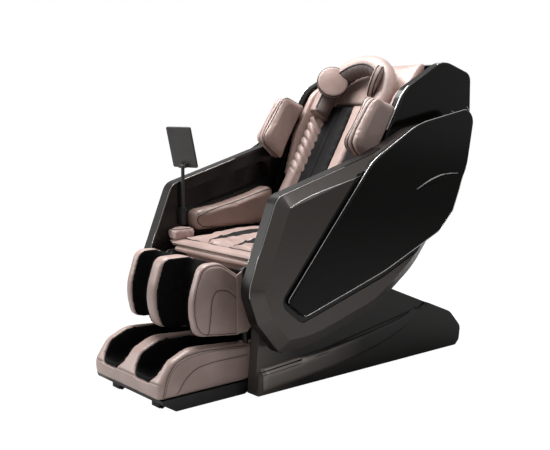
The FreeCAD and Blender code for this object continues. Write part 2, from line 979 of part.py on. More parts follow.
def arm_pad_outline():
    front = -size.arm_pad_front
    return [
        (front, size.arm_pad_bottom, 26),
        (front, size.arm_pad_front_height, 30),
        (size.arm_pad_back - 20, size.arm_pad_back_height, 26),
        (size.arm_pad_back, size.arm_pad_bottom, 20),
    ]


def build_arm_pad(side, sign):
    inner = size.arm_pad_inside * sign
    width = size.arm_inside - size.arm_pad_inside - size.seat_gap
    pad = block("arm_pad_" + side, arm_pad_outline(), inner, width, backwards=sign < 0)
    round_edges(pad, size.arm_pad_round, at_x(inner))
    keep("arm_pad_" + side, pad)


def build_arm(side, sign):
    build_arm_shell(side, sign)
    build_arm_band(side, sign)
    build_arm_panel(side, sign)
    build_arm_liner(side, sign)
    build_arm_pad(side, sign)


build_seat_frame()
build_seat()
both_sides(build_arm)


# Knee frame. A plate behind the calf unit with two pins at the knees, and sleeves for the foot
# unit's bars.


def build_knee_frame():
    back = -size.calf_back + size.seat_gap
    front = back + size.knee_plate_thickness
    half = size.knee_plate_half_width
    pieces = [box("knee_plate", (-half, back, size.knee_plate_bottom),
                  (half * 2, size.knee_plate_thickness,
                   size.calf_back_top - size.knee_plate_bottom))]
    pin = size.knee_pin_height
    ear_outline = [
        (back, size.knee_plate_bottom + 90),
        (back, pin + 13, 9),
        (-size.knee_pin_forward + 13, pin + 13, 12),
        (-size.knee_pin_forward + 13, pin - 14, 12),
        (front, size.knee_plate_bottom + 90),
    ]
    for sign in (1, -1):
        ear_start = size.knee_ear_inside * sign
        pieces.append(block("knee_ear", ear_outline, ear_start, size.knee_ear_thickness,
                            backwards=sign < 0))
        pin_length = (size.frame_plate_inside + size.frame_plate_thickness
                      - size.knee_ear_inside)
        pin_start = ear_start if sign > 0 else -size.knee_ear_inside - pin_length
        pieces.append(rod("knee_pin", "x", (pin_start, -size.knee_pin_forward, pin),
                          pin_length, size.knee_pin_radius))
        outer = rod("sleeve", "z", (size.bar_x * sign, -size.bar_forward, size.sleeve_bottom),
                    size.sleeve_top - size.sleeve_bottom, size.bar_radius + size.sleeve_wall)
        web = box("sleeve_web", (size.bar_x * sign - 3, back, size.sleeve_bottom + 20),
                  (6, -size.bar_forward - back, 120))
        bore = rod("sleeve_bore", "z",
                   (size.bar_x * sign, -size.bar_forward, size.sleeve_bottom - 1),
                   size.sleeve_top - size.sleeve_bottom + 2, size.bar_radius + size.seat_gap)
        pieces.append(cut("sleeve_cut", fuse("sleeve_body", [outer, web]), bore))
    keep("knee_frame", fuse("knee_frame", pieces))


def tray_outline():
    top = size.foot_bottom
    return [
        (-size.tray_front, top),
        (-size.tray_front + 6, top - 16, 5),
        (-size.tray_toe, size.tray_bottom, 10),
        (-size.tray_heel, size.tray_bottom, 10),
        (-size.foot_back - 26, size.tray_bottom + 20, 10),
        (-size.foot_back - 4, top),
    ]


def build_foot_tray():
    half = size.tray_half_width
    wall = size.tray_wall
    tray = block("tray", tray_outline(), -half, half * 2)
    hollow = inset(tray_outline(), wall)
    hollow[0] = (hollow[0][0], size.foot_bottom + 5)
    hollow[-1] = (hollow[-1][0], size.foot_bottom + 5)
    carve(tray, hollow, -half + wall, (half - wall) * 2)
    reach = size.foot_wheel_width / 2 + 2
    recesses = []
    bosses = []
    axles = []
    for sign in (1, -1):
        centre = size.foot_wheel_x * sign
        recesses.append(box("wheel_recess", (centre - reach, -size.foot_wheel_forward - 12,
                                             size.tray_bottom - 6),
                            (reach * 2, 24, size.foot_wheel_radius * 2 + 2)))
        bosses.append(box("wheel_boss", (centre - reach - 4, -size.foot_wheel_forward - 16,
                                         size.tray_bottom),
                          (reach * 2 + 8, 32, size.foot_wheel_radius * 2)))
        axles.append(rod("wheel_axle", "x", (centre - reach, -size.foot_wheel_forward,
                                             size.foot_wheel_radius), reach * 2, 3))
    bars = [rod("slide_bar", "z", (size.bar_x * sign, -size.bar_forward,
                                   size.tray_bottom + wall),
                size.bar_top - size.tray_bottom - wall, size.bar_radius) for sign in (1, -1)]
    body = cut("tray_cut", fuse("tray_body", [tray] + bosses), fuse("wheel_recesses", recesses))
    keep("foot_tray", fuse("foot_tray", [body] + axles + bars))
    wheels = []
    for sign in (1, -1):
        start = size.foot_wheel_x * sign - size.foot_wheel_width / 2
        wheel = rod("wheel_body", "x", (start, -size.foot_wheel_forward,
                                        size.foot_wheel_radius),
                    size.foot_wheel_width, size.foot_wheel_radius)
        bore = rod("wheel_bore", "x", (start, -size.foot_wheel_forward,
                                       size.foot_wheel_radius),
                   size.foot_wheel_width, size.seat_gap + 3)
        wheels.append(cut("wheel", wheel, bore))
    keep("foot_wheels", group("foot_wheels", wheels))


# Base. Two rails with uprights carry the pins that the seat frame rocks on. Hollow side covers
# with a swept tail hide them, and a curved cover closes the back, over the mains inlet.
size.define(
    rail_outside=247,
    rail_width=22,
    rail_bottom=14,
    rail_height=25,
    rail_front=330,
    rail_back=560,
    upright_thickness=7,
    cover_tab_front=230,
    cover_tab_back=420,
    cover_tab_width=34,
    foot_pad_radius=22,
    middle_rail_width=50,
    cover_inside=256,
    cover_outside=290,
    cover_wall=4,
    cover_setback=16,
    cover_bottom=11,
    cover_front=398,
    cover_top=342,
    cover_top_back=200,
    cover_tail_back=632,
    cover_tail_height=162,
    cover_end_back=702,
    cover_end_height=88,
    cover_flange_inside=230,
    cover_flange_depth=46,
    band_front_height=88,
    band_back_height=204,
    band_bevel=11,
    inlet_x=-120,
    inlet_height=34,
    inlet_width=48,
    inlet_tall=28,
    inlet_depth=34,
    rocker_x=-66,
    rocker_width=20,
    rocker_tall=28,
    rocker_pivot_depth=6,
    rocker_pivot_radius=2,
    stub_length=14,
    wheel_radius=26,
    wheel_width=20,
    wheel_x=205,
    wheel_back=600,
    wheel_height=30,
)


def cover_outline():
    return [
        (-size.cover_front, size.cover_bottom, 4),
        (-size.cover_front + 30, size.cover_top, 20),
        (size.cover_top_back, size.cover_top - 4, 90),
        (size.cover_tail_back, size.cover_tail_height, 90),
        (size.cover_end_back, size.cover_end_height, 34),
        (size.cover_end_back - 8, size.cover_bottom + 20, 12),
        (size.cover_end_back - 30, size.cover_bottom, 6),
    ]


def open_bottom(corners):
    """The hollow of a cover: its wall all round, but nothing below."""
    corners = inset(corners, size.cover_wall)
    below = size.cover_bottom - 20
    return [(corners[0][0], below)] + corners[1:-2] + [(corners[-2][0], below)]


def build_base_cover(side, sign):
    inside = size.cover_inside * sign
    outside = size.cover_outside * sign
    cover = block("base_cover_" + side, cover_outline(), inside,
                  size.cover_outside - size.cover_inside, backwards=sign < 0)
    front = -size.cover_front - 40
    band_end = size.cover_tail_back - 160
    carve(cover, [
        (front, size.band_front_height),
        (-size.cover_front / 2, size.band_front_height + 16, 500),
        (band_end, size.band_back_height, 60),
        (size.cover_tail_back - 60, size.cover_top),
        (size.cover_tail_back - 60, size.cover_top + 40),
        (front, size.cover_top + 40),
    ], outside - size.cover_setback * sign, size.cover_setback + 1, backwards=sign < 0)

    def band_edge(bounds, middle):
        on_face = at_x(outside)(bounds, middle)
        in_reach = middle.y > -size.cover_front.value + 20 and bounds.YMax < band_end.value
        return on_face and in_reach and middle.z > size.band_front_height.value - 6
    bevel_edges(cover, size.band_bevel, band_edge)
    carve(cover, open_bottom(cover_outline()), inside,
          size.cover_outside - size.cover_inside - size.cover_setback - size.cover_wall,
          backwards=sign < 0)
    flange = block("base_flange_" + side, [
        (-size.cover_front, size.cover_bottom, 4),
        (-size.cover_front + 30, size.cover_top, 20),
        (-size.cover_front + 30 + size.cover_flange_depth, size.cover_top),
        (-size.cover_front + size.cover_flange_depth, size.cover_bottom),
    ], size.cover_flange_inside * sign, size.cover_inside - size.cover_flange_inside,
        backwards=sign < 0)
    keep("base_cover_" + side, fuse("base_cover_" + side, [cover, flange]))


def upright_outline():
    top = size.tilt_pin_height + 24
    foot = size.rail_bottom
    return [
        (size.tilt_pin_back - 130, foot),
        (size.tilt_pin_back - 26, top, 22),
        (size.tilt_pin_back + 26, top, 22),
        (size.tilt_pin_back + 130, foot),
    ]


def build_base_frame():
    pieces = []
    for sign in (1, -1):
        left_edge = size.rail_outside * sign - (size.rail_width if sign > 0 else 0)
        pieces.append(box("rail", (left_edge, -size.rail_front, size.rail_bottom),
                          (size.rail_width, size.rail_front + size.rail_back,
                           size.rail_height)))
        pieces.append(block("upright", upright_outline(), size.rail_outside * sign,
                            size.upright_thickness, backwards=sign < 0))
        pin_length = (size.rail_outside + size.upright_thickness
                      - size.frame_plate_inside + size.running_gap)
        pin_start = (size.frame_plate_inside - size.running_gap if sign > 0
                     else -size.rail_outside - size.upright_thickness)
        pieces.append(rod("tilt_pin", "x", (pin_start, size.tilt_pin_back,
                                            size.tilt_pin_height),
                          pin_length, size.tilt_pin_radius))
    reach = size.cover_outside - size.cover_setback - size.cover_wall
    for sign in (1, -1):
        start = size.rail_outside if sign > 0 else -reach
        for place in (-size.cover_tab_front, size.cover_tab_back):
            pieces.append(box("cover_tab", (start, place, size.rail_bottom),
                              (reach - size.rail_outside, size.cover_tab_width,
                               size.rail_height)))
    inner = size.rail_outside - size.rail_width
    for place in (-size.rail_front, size.tilt_pivot_back - 15, size.rail_back - 30):
        pieces.append(box("cross_rail", (-inner, place, size.rail_bottom),
                          (inner * 2, 30, size.rail_height)))
    pieces.append(box("middle_rail", (-inner, -size.middle_rail_width / 2, size.rail_bottom),
                      (inner * 2, size.middle_rail_width, size.rail_height)))
    for offset in (-22, 16):
        pieces.append(box("tilt_foot", (offset, size.tilt_pivot_back - 12,
                                        size.rail_bottom + size.rail_height),
                          (6, 24, size.tilt_pivot_height - size.rail_bottom
                           - size.rail_height + 12)))
    pieces.append(rod("tilt_foot_pin", "x", (-22, size.tilt_pivot_back,
                                             size.tilt_pivot_height), 44, size.actuator_pin))
    for sign in (1, -1):
        edge = size.wheel_x + size.wheel_width / 2 + size.running_gap
        start = edge if sign > 0 else -edge - size.stub_length
        pieces.append(box("wheel_bracket", (start, size.rail_back - 30, size.rail_bottom),
                          (size.stub_length, size.wheel_back - size.rail_back + 42,
                           size.rail_height)))
        pieces.append(rod("wheel_axle", "x",
                          (-edge if sign < 0 else edge - size.wheel_width
                           - size.running_gap * 2,
                           size.wheel_back, size.wheel_height),
                          size.wheel_width + size.running_gap * 2, 5))
    keep("base_frame", fuse("base_frame", pieces))
    pads = [rod("middle_pad", "z", (0, 0, 0), size.rail_bottom, size.foot_pad_radius)]
    for sign in (1, -1):
        for place in (-size.rail_front + 40, size.rail_back - 60):
            pads.append(rod("pad", "z", ((size.rail_outside - size.rail_width / 2) * sign,
                                         place, 0), size.rail_bottom, size.foot_pad_radius))
    keep("rubber_feet", group("rubber_feet", pads))
    wheels = []
    for sign in (1, -1):
        start = size.wheel_x * sign - size.wheel_width / 2
        centre = (start, size.wheel_back, size.wheel_height)
        wheels.append(cut("transport_wheel",
                          rod("tyre", "x", centre, size.wheel_width, size.wheel_radius),
                          rod("wheel_hole", "x", centre, size.wheel_width,
                              5 + size.seat_gap)))
    keep("transport_wheels", group("transport_wheels", wheels))


def build_rear_cover():
    half = size.cover_inside - size.seat_gap
    sheet_body = block("rear_cover_sheet", cover_outline(), -half, half * 2)
    carve(sheet_body, open_bottom(cover_outline()), -half, half * 2)
    reach = size.cover_top_back + 150
    carve(sheet_body, [
        (-size.cover_front - 10, size.cover_bottom - 10),
        (-size.cover_front - 10, size.cover_top + 10),
        (reach, size.cover_top + 10),
        (reach, size.cover_bottom - 10),
    ], -half, half * 2)
    face = size.cover_end_back + 2
    openings = [
        box("inlet_hole", (size.inlet_x - size.inlet_width / 2 - size.seat_gap,
                           face - size.inlet_depth * 2,
                           size.inlet_height - size.seat_gap),
            (size.inlet_width + size.seat_gap * 2, size.inlet_depth * 2 + 10,
             size.inlet_tall + size.seat_gap * 2)),
        box("rocker_hole", (size.rocker_x - size.rocker_width / 2 - size.seat_gap,
                            face - size.inlet_depth * 2,
                            size.inlet_height - size.seat_gap),
            (size.rocker_width + size.seat_gap * 2, size.inlet_depth * 2 + 10,
             size.rocker_tall + size.seat_gap * 2)),
    ]
    keep("base_rear_cover", cut("base_rear_cover", sheet_body, fuse("openings", openings)))
    inlet = box("inlet_block", (size.inlet_x - size.inlet_width / 2, face - size.inlet_depth,
                                size.inlet_height),
                (size.inlet_width, size.inlet_depth, size.inlet_tall))
    recess = box("inlet_recess", (size.inlet_x - size.inlet_width / 2 + 8,
                                  face - size.inlet_depth + 12, size.inlet_height + 5),
                 (size.inlet_width - 16, size.inlet_depth, size.inlet_tall - 10))
    pins = [box("contact", (size.inlet_x + offset - 1, face - size.inlet_depth + 12,
                            size.inlet_height + size.inlet_tall / 2 - 2),
                (2, 15, 4)) for offset in (-8, 0, 8)]
    keep("mains_inlet", fuse("mains_inlet", [cut("inlet_cup", inlet, recess)] + pins))
    frame_outer = box("rocker_frame", (size.rocker_x - size.rocker_width / 2,
                                       face - size.inlet_depth / 2, size.inlet_height),
                      (size.rocker_width, size.inlet_depth / 2, size.rocker_tall))
    middle = size.inlet_height + size.rocker_tall / 2
    rocker_space = box("rocker_space", (size.rocker_x - size.rocker_width / 2 + 2,
                                        face - size.inlet_depth / 2 + 2,
                                        size.inlet_height + 2),
                       (size.rocker_width - 4, size.inlet_depth, size.rocker_tall - 4))
    pivot_start = size.rocker_x - size.rocker_width / 2 + 1
    pivot_at = (pivot_start, face - size.rocker_pivot_depth, middle)
    pivot = rod("rocker_pivot", "x", pivot_at, size.rocker_width - 2, size.rocker_pivot_radius)
    keep("rocker_frame", fuse("rocker_frame",
                              [cut("rocker_box", frame_outer, rocker_space), pivot]))
    key = size.rocker_tall / 2 - 3
    rocker = block("rocker_key", [
        (face - 10, middle - key + 2),
        (face - 10, middle + key - 2),
        (face - 2, middle + key),
        (face - 1, middle, 30),
        (face + 2, middle - key),
    ], size.rocker_x - size.rocker_width / 2 + 2 + size.seat_gap,
        size.rocker_width - 4 - size.seat_gap * 2)
    pivot_hole = rod("pivot_hole", "x", pivot_at, size.rocker_width - 2,
                     size.rocker_pivot_radius + size.seat_gap)
    keep("power_rocker", cut("power_rocker", rocker, pivot_hole))


build_knee_frame()
build_foot_tray()
both_sides(build_base_cover)
build_base_frame()
build_rear_cover()

# Backrest. It is drawn upright in its own frame, with Y measured back from the hinge line and
# Z along the back, and then leaned back on the hinge of the seat frame.
size.define(
    back_lean=31,
    wing_inside=262,
    wing_outside=300,
    wing_front=156,
    wing_low_front=100,
    wing_low=300,
    wing_foot=64,
    wing_front_low=500,
    wing_front_high=700,
    wing_brow_front=20,
    wing_brow=918,
    wing_top_back=150,
    wing_top=960,
    wing_bulge_back=243,
    wing_bulge=810,
    wing_waist_back=220,
    wing_waist=450,
    wing_heel_back=60,
    wing_edge=9,
    shell_wall=4,
    shell_front=24,
    lining_thickness=30,
    pad_front=77,
    pad_back=54,
    pad_low=72,
    pad_high=680,
    pad_strip_half=160,
    bolster_rise=48,
    bolster_half=224,
    bolster_back=20,
    pad_edge=10,
    seam_x=40,
    seam_depth=5,
    head_pad_high=896,
    head_pad_front=62,
    arch_radius=43,
    arch_half=170,
    arch_front=121,
    arch_low=600,
    arch_shoulder=667,
    ear_radius=66,
    ear_thickness=24,
    ear_height=736,
    ear_turn=40,
    ear_sink=6,
    ear_edge=9,
    shoulder_inside=232,
    shoulder_layer=22,
    shoulder_step=2,
    shoulder_front=290,
    shoulder_low=360,
    shoulder_high=624,
    shoulder_top_slope=20,
    shoulder_corner=34,
    shoulder_edge=9,
)


def lean(obj):
    """Hang an upright-drawn piece on the back hinge and lean it back."""
    obj.Placement = Placement(Vector(), Rotation(Vector(-1, 0, 0), size.back_lean.value))
    bind(obj, "Placement.Base.y", size.back_hinge_back)
    bind(obj, "Placement.Base.z", size.back_hinge_height)
    bind(obj, "Placement.Rotation.Angle", size.back_lean)
    return obj


def wing_outline():
    """Side view of the backrest, from the low front edge up over the head and down behind."""
    return [
        (-10, size.wing_foot, 20),
        (-size.wing_low_front, size.wing_low, 80),
        (-size.wing_front, size.wing_front_low, 150),
        (-size.wing_front, size.wing_front_high, 130),
        (-size.wing_brow_front, size.wing_brow, 120),
        (size.wing_top_back, size.wing_top, 40),
        (size.wing_bulge_back, size.wing_bulge, 80),
        (size.wing_waist_back, size.wing_waist, 200),
        (size.wing_heel_back, size.wing_foot + 8, 40),
    ]


def build_wing(side, sign):
    inside = size.wing_inside * sign
    width = size.wing_outside - size.wing_inside
    wing = block("side_shell_" + side, wing_outline(), inside, width, backwards=sign < 0)
    round_edges(wing, size.wing_edge, at_x(size.wing_outside * sign))
    carve(wing, inset(wing_outline(), size.shell_wall * 2), inside, width - size.shell_wall * 2,
          backwards=sign < 0)
    keep("side_shell_" + side, lean(wing))


def build_wing_lining():
    """Padded leather inside both wings, seen between the arch and the wings' front edges."""
    pads = []
    behind = size.shell_front + 40
    for sign in (1, -1):
        start = (size.wing_inside - size.seat_gap) * sign
        pad = block("wing_pad", inset(wing_outline(), 6), start, size.lining_thickness,
                    backwards=sign > 0)
        carve(pad, [
            (-size.wing_front - 20, size.wing_foot - 20),
            (-size.wing_front - 20, size.wing_low + 20),
            (behind, size.wing_low + 20),
            (behind, size.wing_top + 20),
            (size.wing_bulge_back + 40, size.wing_top + 20),
            (size.wing_bulge_back + 40, size.wing_foot - 20),
        ], start, size.lining_thickness, backwards=sign > 0)
        pads.append(pad)
    keep("wing_lining", lean(group("wing_lining", pads)))


def build_back_shell():
    half = size.wing_inside - size.seat_gap
    shell = block("back_shell", wing_outline(), -half, half * 2)
    carve(shell, inset(wing_outline(), size.shell_wall), -half, half * 2)
    front = -size.wing_front - 20
    carve(shell, [
        (front, size.wing_foot - 20),
        (front, size.wing_top + 20),
        (size.shell_front, size.wing_top + 20),
        (size.shell_front, size.wing_foot - 20),
    ], -half, half * 2)
    keep("back_shell", lean(shell))


def build_back_pad():
    """The pad over the rollers: a flat middle and a raised bolster each side."""
    body = new_body("back_pad")
    sketch = new_sketch(body, "XY_Plane", size.pad_low)
    front = -size.pad_front
    crest = -size.pad_front - size.bolster_rise
    half = size.bolster_half
    strip = size.pad_strip_half
    draw_outline(sketch, [
        (-strip, -size.pad_back),
        (-half + 10, -size.bolster_back),
        (-half, -size.bolster_back),
        (-half, crest, 22),
        (-half + 42, crest, 22),
        (-strip, front, 16),
        (strip, front, 16),
        (half - 42, crest, 22),
        (half, crest, 22),
        (half, -size.bolster_back),
        (half - 10, -size.bolster_back),
        (strip, -size.pad_back),
    ])
    add_pad(body, sketch, size.pad_high - size.pad_low)

    def end_edges(bounds, middle):
        at_end = bounds.ZMax - bounds.ZMin < 0.01 and bounds.XMax - bounds.XMin > 3
        return at_end and middle.y < -size.pad_back.value - 4
    round_edges(body, size.pad_edge, end_edges)
    for sign in (1, -1):
        carve(body, [
            (sign * (strip - 34), front),
            (sign * (half + 10), front),
            (sign * (half + 10), crest - 10),
            (sign * (strip - 34), crest - 10),
        ], size.arch_low - 3, size.pad_high - size.arch_low + 10, role="XY_Plane")
        carve(body, [
            (sign * size.seam_x, front + size.seam_depth),
            (sign * size.seam_x - size.seam_depth, front - 1),
            (sign * size.seam_x + size.seam_depth, front - 1),
        ], size.pad_low - 1, size.pad_high - size.pad_low + 2, role="XY_Plane")
    keep("back_pad", lean(body))


def build_head_cushion():
    half = size.bolster_half
    low = size.pad_high + size.running_gap
    back = -size.rail_depth / 2 - size.seat_gap
    pad = block("head_cushion", [
        (back, low),
        (-size.head_pad_front, low, 10),
        (-size.head_pad_front, low + 110, 140),
        (-size.head_pad_front + 18, size.head_pad_high, 12),
        (back, size.head_pad_high, 8),
    ], -half, half * 2)
    round_edges(pad, size.pad_edge, at_x(half, -half))
    keep("head_cushion", lean(pad))


def arch_solid(name, radius):
    """A half ring on two straight legs."""
    front = -size.arch_front
    ring = doc.addObject("Part::Torus", "arch_ring")
    bind(ring, "Radius1", size.arch_half)
    bind(ring, "Radius2", radius)
    ring.Angle3 = 180
    ring.Placement.Rotation = Rotation(Vector(1, 0, 0), 90)
    bind(ring, "Placement.Base.y", front)
    bind(ring, "Placement.Base.z", size.arch_shoulder)
    parts = [ring]
    for sign in (1, -1):
        parts.append(rod("arch_leg", "z", (size.arch_half * sign, front, size.arch_low),
                         size.arch_shoulder - size.arch_low, radius))
    return fuse(name, parts)


def build_head_arch():
    keep("head_arch", lean(arch_solid("head_arch", size.arch_radius)))


def build_ear_pads():
    """Two round speaker pads let into the arch, facing the ears."""
    pads = []
    reach = size.arch_radius + size.ear_thickness / 2 - size.ear_sink
    turn = math.radians(size.ear_turn.value)
    for sign in (1, -1):
        body = new_body("ear_pad")
        sketch = new_sketch(body, "XY_Plane", -size.ear_thickness / 2)
        draw_circle(sketch, 0, 0, size.ear_radius)
        add_pad(body, sketch, size.ear_thickness)
        round_edges(body, size.ear_edge, lambda bounds, middle: bounds.ZMax - bounds.ZMin < 0.01)
        normal = Vector(-sign * math.cos(turn), -math.sin(turn), 0)
        body.Placement.Rotation = Rotation(Vector(0, 0, 1), normal)
        bind(body, "Placement.Base.x", (size.arch_half - reach * math.cos(turn)) * sign)
        bind(body, "Placement.Base.y", -size.arch_front - reach * math.sin(turn))
        bind(body, "Placement.Base.z", size.ear_height)
        pads.append(body)
    keep("ear_pads", lean(cut("ear_pads", group("ear_pair", pads),
                              arch_solid("arch_seat", size.arch_radius + size.seat_gap))))


def build_shoulder_pad(side, sign):
    """Three air cushions laid on each other beside the shoulder."""
    layers = []
    back = -size.wing_front - size.seat_gap
    corner = size.shoulder_corner
    for index in range(3):
        step = size.shoulder_step * index
        start = (size.shoulder_inside + size.shoulder_layer * index) * sign
        layer = block("shoulder_layer", [
            (back, size.shoulder_low + step, 12),
            (-size.shoulder_front + step, size.shoulder_low + 22 + step, corner),
            (-size.shoulder_front + 14 + step,
             size.shoulder_high - size.shoulder_top_slope - step, corner),
            (back, size.shoulder_high - step, 12),
        ], start, size.shoulder_layer, backwards=sign < 0)
        round_edges(layer, size.shoulder_edge,
                    at_x(start, start + size.shoulder_layer * sign))
        layers.append(layer)
    keep("shoulder_pad_" + side, lean(fuse("shoulder_pad_" + side, layers)))


# Roller mechanism. Two channel rails run up the back frame. A carriage climbs them on a driven
# shaft and a guide shaft, and a third shaft nods the two roller arms.
size.define(
    rail_half=172,
    rail_depth=34,
    rail_flange=26,
    rail_wall=4,
    rail_low=70,
    rail_high=860,
    bracket_back=66,
    bracket_width=30,
    back_plate_inside=226,
    back_plate_thickness=7,
    lever_half_width=13,
    lever_wall=6,
    carriage_low=240,
    carriage_tall=130,
    carriage_half=132,
    carriage_wall=5,
    carriage_front=14,
    carriage_depth=52,
    carriage_motor_radius=27,
    guide_wheel_radius=12,
    shaft_radius=6,
    drive_shaft_rise=22,
    guide_shaft_rise=110,
    knead_shaft_rise=66,
    knead_shaft_back=16,
    arm_x=64,
    arm_thickness=10,
    arm_length=58,
    roller_radius=19,
    roller_width=34,
    roller_pin=5,
    roller_front=26,
    arm_web=22,
)


def rail_outline(sign):
    """Plan of a rail: a channel that opens towards the middle."""
    outer = size.rail_half * sign
    inner = (size.rail_half - size.rail_flange) * sign
    web = (size.rail_half - size.rail_wall) * sign
    half = size.rail_depth / 2
    corners = [
        (outer, -half),
        (outer, half),
        (inner, half),
        (inner, half - size.rail_wall),
        (web, half - size.rail_wall),
        (web, -half + size.rail_wall),
        (inner, -half + size.rail_wall),
        (inner, -half),
    ]
    return corners if sign > 0 else corners[::-1]


def build_back_frame():
    pieces = []
    tall = size.rail_high - size.rail_low
    plate = size.back_plate_inside
    for sign in (1, -1):
        rail = new_body("rail")
        sketch = new_sketch(rail, "XY_Plane", size.rail_low)
        draw_outline(sketch, rail_outline(sign))
        add_pad(rail, sketch, tall)
        pieces.append(rail)
        pieces.append(block("hinge_plate", [
            (-22, -22, 20),
            (-22, 60, 20),
            (-17, size.rail_low + 120),
            (17, size.rail_low + 120),
            (22, 60, 20),
            (22, -22, 20),
        ], plate * sign, size.back_plate_thickness, backwards=sign < 0))
        pin_length = size.frame_plate_inside + size.frame_plate_thickness - plate
        pin_start = plate if sign > 0 else -plate - pin_length
        pieces.append(rod("hinge_pin", "x", (pin_start, 0, 0), pin_length,
                          size.back_hinge_radius))
        web_start = size.rail_half if sign > 0 else -plate
        pieces.append(box("hinge_web", (web_start, -size.rail_depth / 2, size.rail_low + 20),
                          (plate - size.rail_half, size.rail_wall, 100)))
        reach = size.wing_outside - size.shell_wall * 2
        inner = size.rail_half - size.rail_flange
        for height in (size.rail_low + 250, size.rail_high - 40):
            block_start = inner if sign > 0 else -size.rail_half
            pieces.append(box("bracket_foot", (block_start, size.rail_depth / 2, height),
                              (size.rail_flange, size.bracket_back - size.rail_depth / 2,
                               size.bracket_width)))
            strap_start = inner if sign > 0 else -reach
            pieces.append(box("wing_bracket", (strap_start, size.bracket_back, height),
                              (reach - inner, size.rail_wall, size.bracket_width)))
    behind = size.rail_depth / 2 - size.rail_wall
    for height in (size.rail_low, size.rail_high - 30):
        pieces.append(box("cross_member", (-size.rail_half + size.rail_wall, behind, height),
                          (size.rail_half * 2 - size.rail_wall * 2, size.rail_wall, 30)))
    pieces.append(rod("hinge_tube", "x", (-plate, 0, 0), plate * 2, 15))
    for offset in (-size.lever_half_width - size.lever_wall, size.lever_half_width):
        start = size.recline_x + offset
        pieces.append(block("lever", [
            (-15, 10),
            (15, 10),
            (size.recline_lever_back + 12, -size.recline_lever - 12, 10),
            (size.recline_lever_back - 12, -size.recline_lever - 12, 10),
        ], start, size.lever_wall))
    pieces.append(rod("lever_pin", "x",
                      (size.recline_x - size.lever_half_width, size.recline_lever_back,
                       -size.recline_lever), size.lever_half_width * 2, size.actuator_pin))
    keep("back_frame", lean(fuse("back_frame", pieces)))


def build_carriage():
    low = size.carriage_low
    half = size.carriage_half
    wall = size.carriage_wall
    pieces = [box("carriage_plate", (-half, size.carriage_front + size.carriage_depth, low),
                  (half * 2, wall, size.carriage_tall))]
    bores = []
    shafts = [(0, size.drive_shaft_rise), (0, size.guide_shaft_rise),
              (size.knead_shaft_back, size.knead_shaft_rise)]
    for sign in (1, -1):
        start = half - wall if sign > 0 else -half
        pieces.append(box("carriage_cheek", (start, -size.shaft_radius - 8, low),
                          (wall, size.carriage_front + size.carriage_depth
                           + size.shaft_radius + 8, size.carriage_tall)))
    for back, rise in shafts:
        bores.append(rod("shaft_bore", "x", (-half - 1, back, low + rise), half * 2 + 2,
                         size.shaft_radius + size.seat_gap))
    motor = rod("knead_motor", "z", (0, size.carriage_front + size.carriage_depth + wall
                                     + size.carriage_motor_radius - 4, low + 34),
                size.carriage_tall - 44, size.carriage_motor_radius)
    keep("massage_carriage",
         lean(cut("massage_carriage", fuse("carriage_body", pieces + [motor]),
                  fuse("carriage_bores", bores))))
    reach = size.rail_half - size.rail_wall - size.running_gap
    for name, rise in (("drive_shaft", size.drive_shaft_rise),
                       ("guide_shaft", size.guide_shaft_rise)):
        centre = (-reach, 0, low + rise)
        parts = [rod("shaft", "x", centre, reach * 2, size.shaft_radius)]
        for sign in (1, -1):
            edge = (size.rail_half - size.rail_flange) * sign
            start = edge if sign > 0 else -reach
            parts.append(rod("guide_wheel", "x", (start, 0, low + rise),
                             reach - size.rail_half + size.rail_flange,
                             size.guide_wheel_radius))
        keep(name, lean(fuse(name, parts)))
    knead_height = low + size.knead_shaft_rise
    parts = [rod("shaft", "x", (-half - 8, size.knead_shaft_back, knead_height),
                 half * 2 + 16, size.shaft_radius)]
    for sign in (1, -1):
        parts.append(rod("knead_cam", "x",
                         (size.arm_x * sign - size.arm_thickness / 2,
                          size.knead_shaft_back, knead_height),
                         size.arm_thickness, size.shaft_radius + 8))
    keep("knead_shaft", lean(fuse("knead_shaft", parts)))


